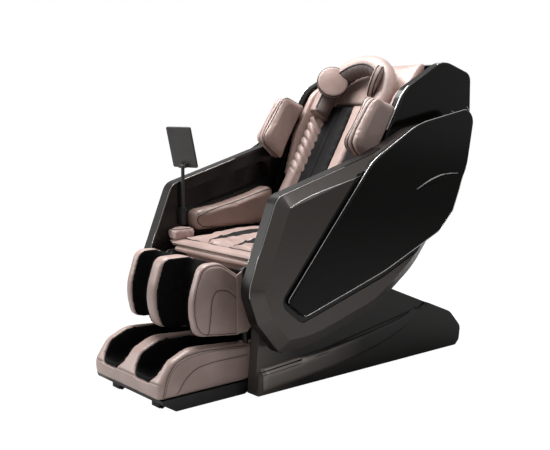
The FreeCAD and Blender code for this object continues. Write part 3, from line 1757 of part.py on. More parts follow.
def build_massage_arm(side, sign):
    """A roller arm: it turns on the cam of the knead shaft and holds two rollers."""
    centre = size.arm_x * sign
    start = centre - size.arm_thickness / 2
    height = size.carriage_low + size.knead_shaft_rise
    back = size.knead_shaft_back
    pin_y = -size.roller_front
    tip = size.arm_length + 10
    web = back - size.arm_web
    profile = [
        (back + 24, 20, 20),
        (web, 28, 12),
        (pin_y + 10, 42, 10),
        (pin_y + 10, tip, 9),
        (pin_y - 10, tip, 9),
        (pin_y - 12, 22, 30),
    ]
    lower = [(corner[0], -corner[1], corner[2]) for corner in profile]
    outline = [(corner[0], height + corner[1], corner[2]) for corner in profile + lower[::-1]]
    arm = block("massage_arm_" + side, outline, start, size.arm_thickness)
    holes = new_sketch(arm, "YZ_Plane", start)
    draw_circle(holes, back, height, size.shaft_radius + 8 + size.seat_gap)
    add_pocket(arm, holes, size.arm_thickness)
    pins = []
    for lift in (-size.arm_length, size.arm_length):
        first = start if sign > 0 else start - size.roller_width - 1
        pins.append(rod("roller_pin", "x", (first, pin_y, height + lift),
                        size.roller_width + 1 + size.arm_thickness, size.roller_pin))
    keep("massage_arm_" + side, lean(fuse("massage_arm_" + side, [arm] + pins)))
    for level, lift in (("lower", -size.arm_length), ("upper", size.arm_length)):
        inner = size.arm_thickness / 2 + 1
        roller = new_body(f"roller_{level}_{side}")
        sketch = new_sketch(roller, "YZ_Plane",
                            centre + inner if sign > 0 else centre - inner - size.roller_width)
        draw_circle(sketch, pin_y, height + lift, size.roller_radius)
        add_pad(roller, sketch, size.roller_width)
        first = centre.value + inner.value * sign
        round_edges(roller, 8, at_x(first, first + size.roller_width.value * sign))
        hole = new_sketch(roller, "YZ_Plane",
                          centre + inner if sign > 0 else centre - inner - size.roller_width)
        draw_circle(hole, pin_y, height + lift, size.roller_pin + size.seat_gap)
        add_pocket(roller, hole, size.roller_width)
        keep(f"roller_{level}_{side}", lean(roller))


both_sides(build_wing)
build_wing_lining()
build_back_shell()
build_back_pad()
build_head_cushion()
build_head_arch()
build_ear_pads()
both_sides(build_shoulder_pad)
build_back_frame()
build_carriage()
both_sides(build_massage_arm)

def span(across, up):
    """Distance between two pins, as a size."""
    value = math.hypot(across.value, up.value)
    return Size(value, f"sqrt(({across.formula})^2 + ({up.formula})^2)")


def aim(obj, x, start, end):
    """Hang a piece that is drawn along Y on a pin, and point it at another pin."""
    across = end[0] - start[0]
    up = end[1] - start[1]
    sense = 1 if up.value > 0 else -1
    rise = up * sense
    turn = Size(math.degrees(math.atan2(rise.value, across.value)),
                f"atan2({rise.formula}; {across.formula})")
    obj.Placement = Placement(Vector(), Rotation(Vector(sense, 0, 0), turn.value))
    bind(obj, "Placement.Rotation.Angle", turn)
    bind(obj, "Placement.Base.x", x)
    bind(obj, "Placement.Base.y", start[0])
    bind(obj, "Placement.Base.z", start[1])
    return obj


def build_actuator(name, x, start, end, stroke, slot, side):
    """A motor tube on its pin and the rod that slides in it, slotted at its far end."""
    start = tuple(as_size(value) for value in start)
    end = tuple(as_size(value) for value in end)
    reach = span(end[0] - start[0], end[1] - start[1])
    radius = size.actuator_tube_radius
    eye = size.actuator_eye_half
    mouth = reach - size.actuator_eye_radius - size.actuator_mouth
    if stroke.value < 0:
        mouth = mouth + stroke
    drop = size.actuator_motor_drop
    body = fuse(name + "_body", [
        rod("neck", "y", (0, 0, 0), size.actuator_neck, size.actuator_eye_radius),
        rod("tube", "y", (0, size.actuator_neck, 0), mouth - size.actuator_neck, radius),
        rod("eye", "x", (-eye, 0, 0), eye * 2, size.actuator_eye_radius),
        rod("motor", "y", (0, size.actuator_motor_start, drop * side),
            size.actuator_motor_length, size.actuator_motor_radius),
        box("gear_case", (-radius, size.actuator_motor_start - 12,
                          as_size(0) if side > 0 else -drop - 14),
            (radius * 2, 16, drop + 14)),
    ])
    bores = fuse(name + "_bores", [
        rod("rod_bore", "y", (0, size.actuator_bore_start, 0), reach,
            size.actuator_rod_radius + size.seat_gap),
        rod("pin_bore", "x", (-eye - 1, 0, 0), eye * 2 + 2,
            size.actuator_pin + size.seat_gap),
    ])
    keep(name + "_actuator", aim(cut(name + "_actuator", body, bores), x, start, end))
    inner = size.actuator_bore_start + 12
    if stroke.value < 0:
        inner = inner - stroke
    tip = size.actuator_rod_eye_half
    half = size.actuator_pin + size.seat_gap + slot
    piston = fuse(name + "_piston", [
        rod("rod", "y", (0, inner, 0), reach - inner - half, size.actuator_rod_radius),
        rod("rod_eye", "x", (-tip, reach, 0), tip * 2, half + size.actuator_slot_wall),
    ])
    window = box("slot", (-tip - 1, reach - half, -half), (tip * 2 + 2, half * 2, half * 2))
    keep(name + "_rod", aim(cut(name + "_rod", piston, window), x, start, end))


def build_recline_actuator():
    lean_angle = math.radians(size.back_lean.value)
    sine = Size(math.sin(lean_angle), "sin(sizes.back_lean * 1 deg)")
    cosine = Size(math.cos(lean_angle), "cos(sizes.back_lean * 1 deg)")
    end = (
        size.back_hinge_back + size.recline_lever_back * cosine - size.recline_lever * sine,
        size.back_hinge_height - size.recline_lever * cosine
        - size.recline_lever_back * sine,
    )
    start = (-size.recline_pivot_forward, size.recline_pivot_height)
    build_actuator("recline", size.recline_x, start, end, -size.recline_stroke,
                   size.recline_slot, -1)


def build_tilt_actuator():
    start = (size.tilt_pivot_back, size.tilt_pivot_height)
    end = (-size.tilt_end_forward, size.tilt_end_height)
    build_actuator("tilt", as_size(0), start, end, size.tilt_stroke, size.tilt_slot, 1)


# Hand tablet on a turning pole, in a socket on the right arm's liner.
size.define(
    tablet_x=287,
    tablet_forward=312,
    tablet_hinge_height=784,
    tablet_turn=15,
    tablet_tilt=15,
    tablet_width=124,
    tablet_height=165,
    tablet_thickness=9,
    tablet_corner=7,
    tablet_standoff=12,
    tablet_drop=12,
    tablet_border=7,
    screen_proud=0.8,
    pole_radius=7,
    pole_bottom=562,
    socket_radius=12,
    socket_bottom=552,
    socket_height=66,
    knuckle_half=9,
    knuckle_radius=8,
    knuckle_pin=3,
    lug_width=8,
)


def turn_tablet(name, obj):
    """Turn a finished tablet piece on the pole and set it at the hinge height."""
    inner = group(name + "_tilted", [obj])
    inner.Placement = Placement(Vector(), Rotation(Vector(1, 0, 0), size.tablet_tilt.value))
    bind(inner, "Placement.Rotation.Angle", size.tablet_tilt)
    outer = group(name, [inner])
    outer.Placement = Placement(Vector(), Rotation(Vector(0, 0, 1), size.tablet_turn.value))
    bind(outer, "Placement.Rotation.Angle", size.tablet_turn)
    bind(outer, "Placement.Base.x", -size.tablet_x)
    bind(outer, "Placement.Base.y", -size.tablet_forward)
    bind(outer, "Placement.Base.z", size.tablet_hinge_height)
    return keep(name, outer)


def build_tablet():
    x = -size.tablet_x
    y = -size.tablet_forward
    socket = fuse("socket_body", [
        rod("socket_tube", "z", (x, y, size.socket_bottom), size.socket_height,
            size.socket_radius),
        box("socket_foot", (-size.arm_inside, y - 14, size.socket_bottom),
            (size.arm_inside - size.tablet_x, 28, size.socket_height)),
    ])
    bore = rod("socket_bore", "z", (x, y, size.pole_bottom), size.socket_height,
               size.pole_radius + size.seat_gap)
    keep("tablet_socket", cut("tablet_socket", socket, bore))
    turned = fuse("knuckle", [
        rod("knuckle_barrel", "x", (-size.knuckle_half, 0, 0), size.knuckle_half * 2,
            size.knuckle_radius),
        rod("pole_tube", "z", (0, 0, size.pole_bottom - size.tablet_hinge_height),
            size.tablet_hinge_height - size.pole_bottom, size.pole_radius),
    ])
    pole = cut("tablet_pole", turned, rod("knuckle_bore", "x", (-size.knuckle_half - 1, 0, 0),
                                          size.knuckle_half * 2 + 2,
                                          size.knuckle_pin + size.seat_gap))
    pole.Placement = Placement(Vector(), Rotation(Vector(0, 0, 1), size.tablet_turn.value))
    bind(pole, "Placement.Rotation.Angle", size.tablet_turn)
    bind(pole, "Placement.Base.x", x)
    bind(pole, "Placement.Base.y", y)
    bind(pole, "Placement.Base.z", size.tablet_hinge_height)
    keep("tablet_pole", pole)
    half = size.tablet_width / 2
    low = -size.tablet_drop
    high = low + size.tablet_height
    slab = block("tablet_slab", [
        (-half, low, size.tablet_corner),
        (half, low, size.tablet_corner),
        (half, high, size.tablet_corner),
        (-half, high, size.tablet_corner),
    ], -size.tablet_standoff - size.tablet_thickness, size.tablet_thickness, role="XZ_Plane")
    round_edges(slab, 2.5, lambda bounds, middle: bounds.YMax - bounds.YMin < 0.01)
    parts = [slab]
    gap = size.knuckle_half + size.seat_gap
    for sign in (1, -1):
        start = gap if sign > 0 else -gap - size.lug_width
        parts.append(box("tablet_lug", (start, -size.knuckle_radius + 2, -size.knuckle_radius),
                         (size.lug_width, size.tablet_standoff + size.knuckle_radius + 1,
                          size.knuckle_radius * 2)))
    parts.append(rod("tablet_pin", "x", (-gap - size.lug_width, 0, 0),
                     (gap + size.lug_width) * 2, size.knuckle_pin))
    turn_tablet("tablet_case", fuse("tablet_body", parts))
    border = size.tablet_border
    face = size.tablet_standoff + size.tablet_thickness
    turn_tablet("tablet_screen", box("screen_plate", (-half + border, face, low + border * 2),
                                     (size.tablet_width - border * 2, size.screen_proud,
                                      size.tablet_height - border * 3)))


build_recline_actuator()
build_tilt_actuator()
build_tablet()

doc.recompute()


def check_document():
    """Stop before anything is written if a feature failed or a sub-part is not sound."""
    for obj in doc.Objects:
        if "Invalid" in obj.State or "Error" in obj.State:
            raise ValueError(f"{obj.Name} ({obj.Label}) failed: {obj.State}")
    for name, obj in nodes.items():
        shape = obj.Shape
        if shape.isNull() or not shape.isValid() or not shape.Solids:
            raise ValueError(f"{name}: no sound solid")


def write_parts():
    os.makedirs("parts", exist_ok=True)
    for name, obj in nodes.items():
        obj.Shape.exportStep(f"parts/{name}.step")
        print(f"{name:28s} {len(obj.Shape.Solids):3d} solids {obj.Shape.Volume / 1000:9.1f} cm3")


check_document()
write_parts()
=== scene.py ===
import bpy
import bmesh
import math
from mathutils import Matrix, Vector, noise
from mathutils.bvhtree import BVHTree
from mathutils.kdtree import KDTree


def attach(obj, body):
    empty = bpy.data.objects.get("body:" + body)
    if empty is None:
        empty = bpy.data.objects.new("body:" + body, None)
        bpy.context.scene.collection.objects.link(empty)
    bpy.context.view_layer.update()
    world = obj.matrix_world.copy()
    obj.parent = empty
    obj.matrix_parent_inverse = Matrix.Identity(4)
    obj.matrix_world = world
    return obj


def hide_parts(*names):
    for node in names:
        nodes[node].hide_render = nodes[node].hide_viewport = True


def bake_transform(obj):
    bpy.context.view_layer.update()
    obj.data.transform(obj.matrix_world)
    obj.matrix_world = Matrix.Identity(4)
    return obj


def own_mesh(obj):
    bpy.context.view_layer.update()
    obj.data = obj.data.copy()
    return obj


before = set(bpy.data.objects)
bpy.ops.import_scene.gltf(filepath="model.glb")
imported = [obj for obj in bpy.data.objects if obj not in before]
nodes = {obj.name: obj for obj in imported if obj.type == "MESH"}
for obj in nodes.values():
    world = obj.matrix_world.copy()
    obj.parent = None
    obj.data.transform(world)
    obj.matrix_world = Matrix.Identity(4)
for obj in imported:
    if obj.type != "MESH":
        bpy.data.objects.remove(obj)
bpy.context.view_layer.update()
scene = bpy.context.scene


# The camera stands at the photograph's viewing angle, in front of the sitter's left arm.
camera_data = bpy.data.cameras.new("camera")
camera_data.sensor_width = 36.0
camera_data.lens = 58.58
camera_data.shift_x = -0.0172
camera_data.clip_start = 0.05
camera_data.clip_end = 100.0
camera = bpy.data.objects.new("camera", camera_data)
camera.location = (2.657, -2.2652, 1.0263)
camera.rotation_euler = (math.radians(82.26), 0.0, math.radians(49.95))
scene.collection.objects.link(camera)
scene.camera = camera
scene.view_settings.view_transform = "Standard"


# The studio: a surround and a floor that are white to the camera and dimmer to the chair, one
# large lamp above it, and weaker ones in front and at the side.
def add_node(mat, kind, **values):
    """A new node; each value sets a property of it, or else the input of that name."""
    node = mat.node_tree.nodes.new(kind)
    for key, value in values.items():
        if hasattr(node, key):
            setattr(node, key, value)
        else:
            node.inputs[key.replace("_", " ")].default_value = value
    return node


def link(mat, start, end):
    mat.node_tree.links.new(start, end)


def shader_of(mat):
    return mat.node_tree.nodes["Principled BSDF"]


def area_light(name, place, target, size, power):
    """A rectangular lamp at a place, turned to face its target."""
    data = bpy.data.lights.new(name, "AREA")
    data.shape = "RECTANGLE"
    data.size, data.size_y = size
    data.energy = power
    lamp = bpy.data.objects.new(name, data)
    lamp.location = place
    lamp.rotation_euler = (Vector(target) - Vector(place)).to_track_quat("-Z", "Y").to_euler()
    scene.collection.objects.link(lamp)


WORLD_LEVEL = 0.155
GLOSS_SHARE = 0.42
FLOOR_SIZE = 14.0
FLOOR_GREY = 0.55
FLOOR_GLOW = 1.13
FLOOR_GLOW_SHARE = 0.88
world = bpy.data.worlds.new("studio")
scene.world = world
world.use_nodes = True
back = world.node_tree.nodes["Background"]
seen = add_node(world, "ShaderNodeLightPath")
either = add_node(world, "ShaderNodeMath", operation="MAXIMUM")
link(world, seen.outputs["Is Camera Ray"], either.inputs[0])
link(world, seen.outputs["Is Transmission Ray"], either.inputs[1])
with_gloss = add_node(world, "ShaderNodeMath", operation="MULTIPLY_ADD")
with_gloss.inputs[1].default_value = GLOSS_SHARE
link(world, seen.outputs["Is Glossy Ray"], with_gloss.inputs[0])
link(world, either.outputs["Value"], with_gloss.inputs[2])
level = add_node(world, "ShaderNodeMapRange", To_Min=WORLD_LEVEL, To_Max=1.0)
link(world, with_gloss.outputs["Value"], level.inputs["Value"])
link(world, level.outputs["Result"], back.inputs["Strength"])
back.inputs["Color"].default_value = (1, 1, 1, 1)
area_light("top", (-0.5, -0.2, 2.95), (0, 0.1, 0.5), (2.0, 2.0), 150)
area_light("front", (-2.4, -3.0, 1.8), (0, -0.1, 0.6), (1.4, 1.4), 60)
area_light("side", (3.4, 1.4, 2.6), (0, 0.2, 0.7), (0.4, 2.2), 16)

floor_bm = bmesh.new()
bmesh.ops.create_grid(floor_bm, x_segments=1, y_segments=1, size=FLOOR_SIZE)
floor_mesh = bpy.data.meshes.new("floor")
floor_bm.to_mesh(floor_mesh)
floor_bm.free()
floor = bpy.data.objects.new("floor", floor_mesh)
scene.collection.objects.link(floor)
floor_mat = bpy.data.materials.new("floor_white")
floor_mat.use_nodes = True
floor_shader = shader_of(floor_mat)
floor_shader.inputs["Base Color"].default_value = (FLOOR_GREY, FLOOR_GREY, FLOOR_GREY, 1)
floor_shader.inputs["Roughness"].default_value = 0.8
glow = add_node(floor_mat, "ShaderNodeEmission")
glow.inputs["Strength"].default_value = FLOOR_GLOW
mix = add_node(floor_mat, "ShaderNodeMixShader")
path = add_node(floor_mat, "ShaderNodeLightPath")
share = add_node(floor_mat, "ShaderNodeMath", operation="MULTIPLY")
share.inputs[1].default_value = FLOOR_GLOW_SHARE
link(floor_mat, path.outputs["Is Camera Ray"], share.inputs[0])
link(floor_mat, share.outputs["Value"], mix.inputs["Fac"])
link(floor_mat, floor_shader.outputs["BSDF"], mix.inputs[1])
link(floor_mat, glow.outputs["Emission"], mix.inputs[2])
floor_output = floor_mat.node_tree.nodes["Material Output"]
link(floor_mat, mix.outputs["Shader"], floor_output.inputs["Surface"])
floor.data.materials.append(floor_mat)


# Base frame and running gear. Welded steel box rails under black powder paint, with moulded
# rubber pads, two transport wheels behind and two glide wheels under the foot unit.
def material(name, colour, roughness, metallic=0.0, coat=0.0, specular=0.5, sheen=0.0):
    mat = bpy.data.materials.new(name)
    mat.use_nodes = True
    shader = shader_of(mat)
    shader.inputs["Base Color"].default_value = (*colour, 1)
    shader.inputs["Roughness"].default_value = roughness
    shader.inputs["Metallic"].default_value = metallic
    shader.inputs["Coat Weight"].default_value = coat
    shader.inputs["Coat Roughness"].default_value = 0.05
    shader.inputs["Specular IOR Level"].default_value = specular
    shader.inputs["Sheen Weight"].default_value = sheen
    return mat


def coordinates(mat, scale=(1, 1, 1)):
    """The object's own coordinates, scaled."""
    place = add_node(mat, "ShaderNodeTexCoord")
    mapping = add_node(mat, "ShaderNodeMapping")
    mapping.inputs["Scale"].default_value = scale
    link(mat, place.outputs["Object"], mapping.inputs["Vector"])
    return mapping.outputs["Vector"]


def vary_colour(mat, low, high, scale, detail=3.0):
    """Colour that varies in clouds between two shades."""
    clouds = add_node(mat, "ShaderNodeTexNoise", Scale=scale, Detail=detail)
    link(mat, coordinates(mat), clouds.inputs["Vector"])
    ramp = add_node(mat, "ShaderNodeValToRGB")
    ramp.color_ramp.elements[0].position = 0.35
    ramp.color_ramp.elements[0].color = (*low, 1)
    ramp.color_ramp.elements[1].position = 0.65
    ramp.color_ramp.elements[1].color = (*high, 1)
    link(mat, clouds.outputs["Fac"], ramp.inputs["Fac"])
    link(mat, ramp.outputs["Color"], shader_of(mat).inputs["Base Color"])


def vary_roughness(mat, low, high, scale):
    """Roughness that varies in clouds between two values."""
    clouds = add_node(mat, "ShaderNodeTexNoise", Scale=scale, Detail=4.0)
    link(mat, coordinates(mat), clouds.inputs["Vector"])
    spread = add_node(mat, "ShaderNodeMapRange")
    spread.inputs["To Min"].default_value = low
    spread.inputs["To Max"].default_value = high
    link(mat, clouds.outputs["Fac"], spread.inputs["Value"])
    link(mat, spread.outputs["Result"], shader_of(mat).inputs["Roughness"])


def bump(mat, height_sockets, distance):
    """Chain heights into bumps. Each is (socket, strength)."""
    last = None
    for socket, strength in height_sockets:
        node = add_node(mat, "ShaderNodeBump")
        node.inputs["Strength"].default_value = strength
        node.inputs["Distance"].default_value = distance
        link(mat, socket, node.inputs["Height"])
        if last:
            link(mat, last, node.inputs["Normal"])
        last = node.outputs["Normal"]
    link(mat, last, shader_of(mat).inputs["Normal"])


def moulded(name, colour, roughness, metallic=0.0, coat=0.6, specular=0.5):
    """Moulded panel with the faint waves of its mould, under a clear coat."""
    mat = material(name, colour, roughness, metallic, coat, specular)
    waves = add_node(mat, "ShaderNodeTexNoise", Scale=2.2, Detail=1.0)
    link(mat, coordinates(mat), waves.inputs["Vector"])
    bump(mat, [(waves.outputs["Fac"], 0.05)], 0.004)
    return mat


def paint(name, low, high, roughness, metallic=0.0, coat=0.6, fleck=900.0, specular=0.5):
    """Moulded and painted panel: fine flecks under a clear coat."""
    mat = moulded(name, high, roughness, metallic, coat, specular)
    vary_colour(mat, low, high, fleck, 2.0)
    return mat


def plastic(name, low, high, roughness):
    """Moulded plastic with a fine spark-eroded grain."""
    mat = material(name, high, roughness, specular=0.35)
    vary_colour(mat, low, high, 5.0)
    grain = add_node(mat, "ShaderNodeTexNoise", Scale=900.0, Detail=2.0)
    link(mat, coordinates(mat), grain.inputs["Vector"])
    bump(mat, [(grain.outputs["Fac"], 0.15)], 0.0006)
    return mat


def paint_light_fade(mat, axis, start, end, first, last):
    """Painted light and shade: colour that runs from one tone to another between two places on an
    axis.
    """
    split = add_node(mat, "ShaderNodeSeparateXYZ")
    link(mat, coordinates(mat), split.inputs["Vector"])
    along = add_node(mat, "ShaderNodeMapRange")
    along.inputs["From Min"].default_value = start
    along.inputs["From Max"].default_value = end
    link(mat, split.outputs[axis], along.inputs["Value"])
    ramp = add_node(mat, "ShaderNodeValToRGB")
    ramp.color_ramp.elements[0].color = (*first, 1)
    ramp.color_ramp.elements[1].color = (*last, 1)
    link(mat, along.outputs["Result"], ramp.inputs["Fac"])
    link(mat, ramp.outputs["Color"], shader_of(mat).inputs["Base Color"])


def dress(finish, *names):
    """Give rigid parts their finish."""
    for name in names:
        skin = nodes[name].data
        skin.materials.clear()
        skin.materials.append(finish)


frame_paint = paint("frame_paint", (0.018, 0.018, 0.02), (0.03, 0.03, 0.032), 0.5, 0.0, 0.1)
black_rubber = plastic("black_rubber", (0.01, 0.01, 0.01), (0.018, 0.018, 0.018), 0.75)
wheel_plastic = plastic("wheel_plastic", (0.02, 0.02, 0.021), (0.03, 0.03, 0.031), 0.5)
dress(frame_paint, "base_frame", "seat_frame", "back_frame", "knee_frame")
dress(black_rubber, "rubber_feet", "foot_wheels")
dress(wheel_plastic, "transport_wheels")


# Lifting gear and roller mechanism. Grey cast actuators push on ground steel rods; the carriage
# climbs the back rails on steel shafts and carries four rubber rollers.
def metal(name, low, high, roughness):
    """Ground metal: fine level streaks."""
    mat = material(name, high, roughness, 1.0)
    streaks = add_node(mat, "ShaderNodeTexNoise", Scale=24.0, Detail=6.0)
    link(mat, coordinates(mat, (1, 1, 30)), streaks.inputs["Vector"])
    ramp = add_node(mat, "ShaderNodeValToRGB")
    ramp.color_ramp.elements[0].color = (*low, 1)
    ramp.color_ramp.elements[1].color = (*high, 1)
    link(mat, streaks.outputs["Fac"], ramp.inputs["Fac"])
    link(mat, ramp.outputs["Color"], shader_of(mat).inputs["Base Color"])
    bump(mat, [(streaks.outputs["Fac"], 0.06)], 0.0005)
    return mat


bright_steel = metal("bright_steel", (0.42, 0.42, 0.43), (0.6, 0.6, 0.61), 0.28)
actuator_grey = paint("actuator_grey", (0.13, 0.135, 0.14), (0.17, 0.175, 0.18), 0.45, 0, 0.1)
roller_rubber = plastic("roller_rubber", (0.09, 0.04, 0.015), (0.13, 0.06, 0.025), 0.5)
dress(bright_steel, "drive_shaft", "guide_shaft", "knead_shaft", "recline_rod", "tilt_rod")
dress(actuator_grey, "recline_actuator", "tilt_actuator")
dress(frame_paint, "massage_carriage", "massage_arm_left", "massage_arm_right")
dress(roller_rubber, *[f"roller_{level}_{side}" for level in ("lower", "upper")
                       for side in ("left", "right")])


# Base covers. Satin dark moulded skirts on both sides, each with a raised sweeping flash, and
# a rear cover with the power inlet and a red rocker switch. Skirts and flashes carry a painted
# reflection: lighter bronze at the front, fading to near black towards the rear.
def route(points, closed=False):
    """Points along a smooth line that passes near the given ones."""
    data = bpy.data.curves.new("route", "CURVE")
    data.dimensions = "3D"
    data.resolution_u = 10
    spline = data.splines.new("NURBS")
    spline.points.add(len(points) - 1)
    for knot, point in zip(spline.points, points):
        knot.co = (*point, 1)
    spline.order_u = 3
    spline.use_endpoint_u = not closed
    spline.use_cyclic_u = closed
    curve = bpy.data.objects.new("route", data)
    scene.collection.objects.link(curve)
    view = bpy.context.evaluated_depsgraph_get()
    mesh = bpy.data.meshes.new_from_object(curve.evaluated_get(view))
    line = [vertex.co.copy() for vertex in mesh.vertices]
    bpy.data.objects.remove(curve)
    bpy.data.curves.remove(data)
    bpy.data.meshes.remove(mesh)
    return line


def mm(points):
    """Places in metres from points in millimetres."""
    return [Vector(point) / 1000 for point in points]


def upright(x, line):
    """A side-view line, given as (y, z) in millimetres, in the upright plane at x."""
    return mm([(x, y, z) for y, z in line])


def tree_of(mesh):
    bm = bmesh.new()
    bm.from_mesh(mesh)
    tree = BVHTree.FromBMesh(bm)
    bm.free()
    return tree


def on_side(points, names, sign, proud=0.0):
    """Drop a side-view line, given as (y, z) in millimetres, onto the outer face of parts."""
    trees = [tree_of(nodes[name].data) for name in names]
    laid = []
    for place in route(upright(0, points)):
        start = Vector((OUTSIDE * sign, place.y, place.z))
        hits = [tree.ray_cast(start, Vector((-sign, 0, 0)))[0] for tree in trees]
        reached = [hit for hit in hits if hit]
        if reached:
            nearest = max(reached, key=lambda hit: hit.x * sign)
            laid.append(Vector((nearest.x + proud * sign, place.y, place.z)))
    return laid


def take_in(name, mesh, body, finish):
    """A finished new piece: its object, cover, and body unless it is to be blended."""
    piece = bpy.data.objects.new(name, mesh)
    scene.collection.objects.link(piece)
    mesh.materials.clear()
    mesh.materials.append(finish)
    for face in mesh.polygons:
        face.use_smooth = True
    if body:
        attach(piece, body)
    return piece


def ribbon(name, lines, thick, body, finish):
    """A thin moulded strip over lines that lie side by side."""
    bm = bmesh.new()
    rows = [[bm.verts.new(place) for place in line] for line in lines]
    for low_row, high_row in zip(rows, rows[1:]):
        for low, next_low, high, next_high in zip(low_row, low_row[1:], high_row, high_row[1:]):
            bm.faces.new((low, next_low, next_high, high))
    bmesh.ops.recalc_face_normals(bm, faces=bm.faces)
    bmesh.ops.solidify(bm, geom=bm.faces, thickness=thick)
    bmesh.ops.recalc_face_normals(bm, faces=bm.faces)
    mesh = bpy.data.meshes.new(name)
    bm.to_mesh(mesh)
    bm.free()
    return take_in(name, mesh, body, finish)


def tube(name, line, radius, body, finish, closed=False, taper=False):
    """A round welt, thread or bright line along points."""
    data = bpy.data.curves.new(name, "CURVE")
    data.dimensions = "3D"
    data.bevel_depth = radius
    data.bevel_resolution = 2
    data.use_fill_caps = True
    spline = data.splines.new("POLY")
    spline.points.add(len(line) - 1)
    for index, (knot, point) in enumerate(zip(spline.points, line)):
        knot.co = (*point, 1)
        if taper:
            knot.radius = 0.25 + 0.75 * math.sin(math.pi * index / (len(line) - 1))
    spline.use_cyclic_u = closed
    curve = bpy.data.objects.new(name, data)
    scene.collection.objects.link(curve)
    view = bpy.context.evaluated_depsgraph_get()
    mesh = bpy.data.meshes.new_from_object(curve.evaluated_get(view))
    bpy.data.objects.remove(curve)
    bpy.data.curves.remove(data)
    mesh.name = name
    return take_in(name, mesh, body, finish)


SIDES = (("left", 1), ("right", -1))
OUTSIDE = 0.6
# Painted reflection: the skirt's colour runs from lit bronze at its front to near black behind.
skirt_painted_reflection = moulded("skirt_painted_reflection", (0.025, 0.022, 0.020), 0.30, 0.35, 0.15, 0.4)
paint_light_fade(skirt_painted_reflection, "Y", -0.40, -0.20, (0.12, 0.104, 0.092), (0.017, 0.015, 0.0138))
# Painted reflection: the flash runs from light bronze at the front to near black at the rear.
flash_painted_reflection = moulded("flash_painted_reflection", (0.11, 0.095, 0.086), 0.3, 0.35, 0.2)
paint_light_fade(flash_painted_reflection, "Y", -0.36, 0.12, (0.26, 0.225, 0.20), (0.010, 0.009, 0.008))
black_plastic = plastic("black_plastic", (0.012, 0.011, 0.011), (0.02, 0.018, 0.018), 0.42)
red_plastic = plastic("red_plastic", (0.35, 0.02, 0.015), (0.45, 0.03, 0.02), 0.35)
dress(skirt_painted_reflection, "base_cover_left", "base_cover_right")
dress(black_plastic, "base_rear_cover", "mains_inlet", "rocker_frame", "foot_tray")
dress(red_plastic, "power_rocker")
FLASH_LOW = [(-372, 26), (-219, 36), (-30, 52), (139, 76), (281, 110), (377, 150), (432, 204)]
FLASH_HIGH = [(-372, 104), (-219, 114), (-30, 127), (139, 149), (281, 171), (377, 189),
              (434, 209)]
FLASH_STEPS = 8
FLASH_THICK = 0.003
for side, sign in SIDES:
    cover = [f"base_cover_{side}"]
    rows = []
    for row in range(FLASH_STEPS + 1):
        between = [(y, low + (high - low) * row / FLASH_STEPS)
                   for (y, low), (_, high) in zip(FLASH_LOW, FLASH_HIGH)]
        rows.append(on_side(between, cover, sign, FLASH_THICK / 2))
    # The flash ribbon carries the painted reflection of the front light.
    ribbon(f"skirt_flash_{side}", rows, FLASH_THICK, "base", flash_painted_reflection)


# Arms. Bronze metallic shells with a satin metal band round the front and top edge, and a
# glossy black leaf panel let into a channel whose floor is painted near black as shade, its
# edges drawn in thin bright trim. Tapered bright lines on the shoulder chamfer and the brow
# crease are painted highlights.
def shade_channel_floor(finish, low, high, dark):
    """Painted shade: darken the floor of the sunk channel, the faces square to X between two
    depths.
    """
    shader = shader_of(finish)
    place = add_node(finish, "ShaderNodeTexCoord")
    split = add_node(finish, "ShaderNodeSeparateXYZ")
    link(finish, place.outputs["Object"], split.inputs["Vector"])
    depth = add_node(finish, "ShaderNodeMath", operation="ABSOLUTE")
    link(finish, split.outputs["X"], depth.inputs[0])
    square = add_node(finish, "ShaderNodeSeparateXYZ")
    link(finish, place.outputs["Normal"], square.inputs["Vector"])
    facing = add_node(finish, "ShaderNodeMath", operation="ABSOLUTE")
    link(finish, square.outputs["X"], facing.inputs[0])
    tests = []
    for socket, kind, limit in ((depth.outputs[0], "GREATER_THAN", low),
                                (depth.outputs[0], "LESS_THAN", high),
                                (facing.outputs[0], "GREATER_THAN", 0.9)):
        test = add_node(finish, "ShaderNodeMath", operation=kind)
        test.inputs[1].default_value = limit
        link(finish, socket, test.inputs[0])
        tests.append(test.outputs[0])
    shade_mask = tests[0]
    for test in tests[1:]:
        both = add_node(finish, "ShaderNodeMath", operation="MULTIPLY")
        link(finish, shade_mask, both.inputs[0])
        link(finish, test, both.inputs[1])
        shade_mask = both.outputs[0]
    blend = add_node(finish, "ShaderNodeMix", data_type="RGBA")
    link(finish, shade_mask, blend.inputs["Factor"])
    link(finish, shader.inputs["Base Color"].links[0].from_socket, blend.inputs[COLOUR_A])
    blend.inputs[COLOUR_B].default_value = (*dark, 1)
    link(finish, blend.outputs[COLOUR_OUT], shader.inputs["Base Color"])


COLOUR_A, COLOUR_B, COLOUR_OUT = 6, 7, 2
CHANNEL_LOW, CHANNEL_HIGH = 0.3675, 0.3718
bronze_paint = paint("bronze_paint", (0.055, 0.0455, 0.0405), (0.086, 0.073, 0.066), 0.28, 0.55,
                     0.3)
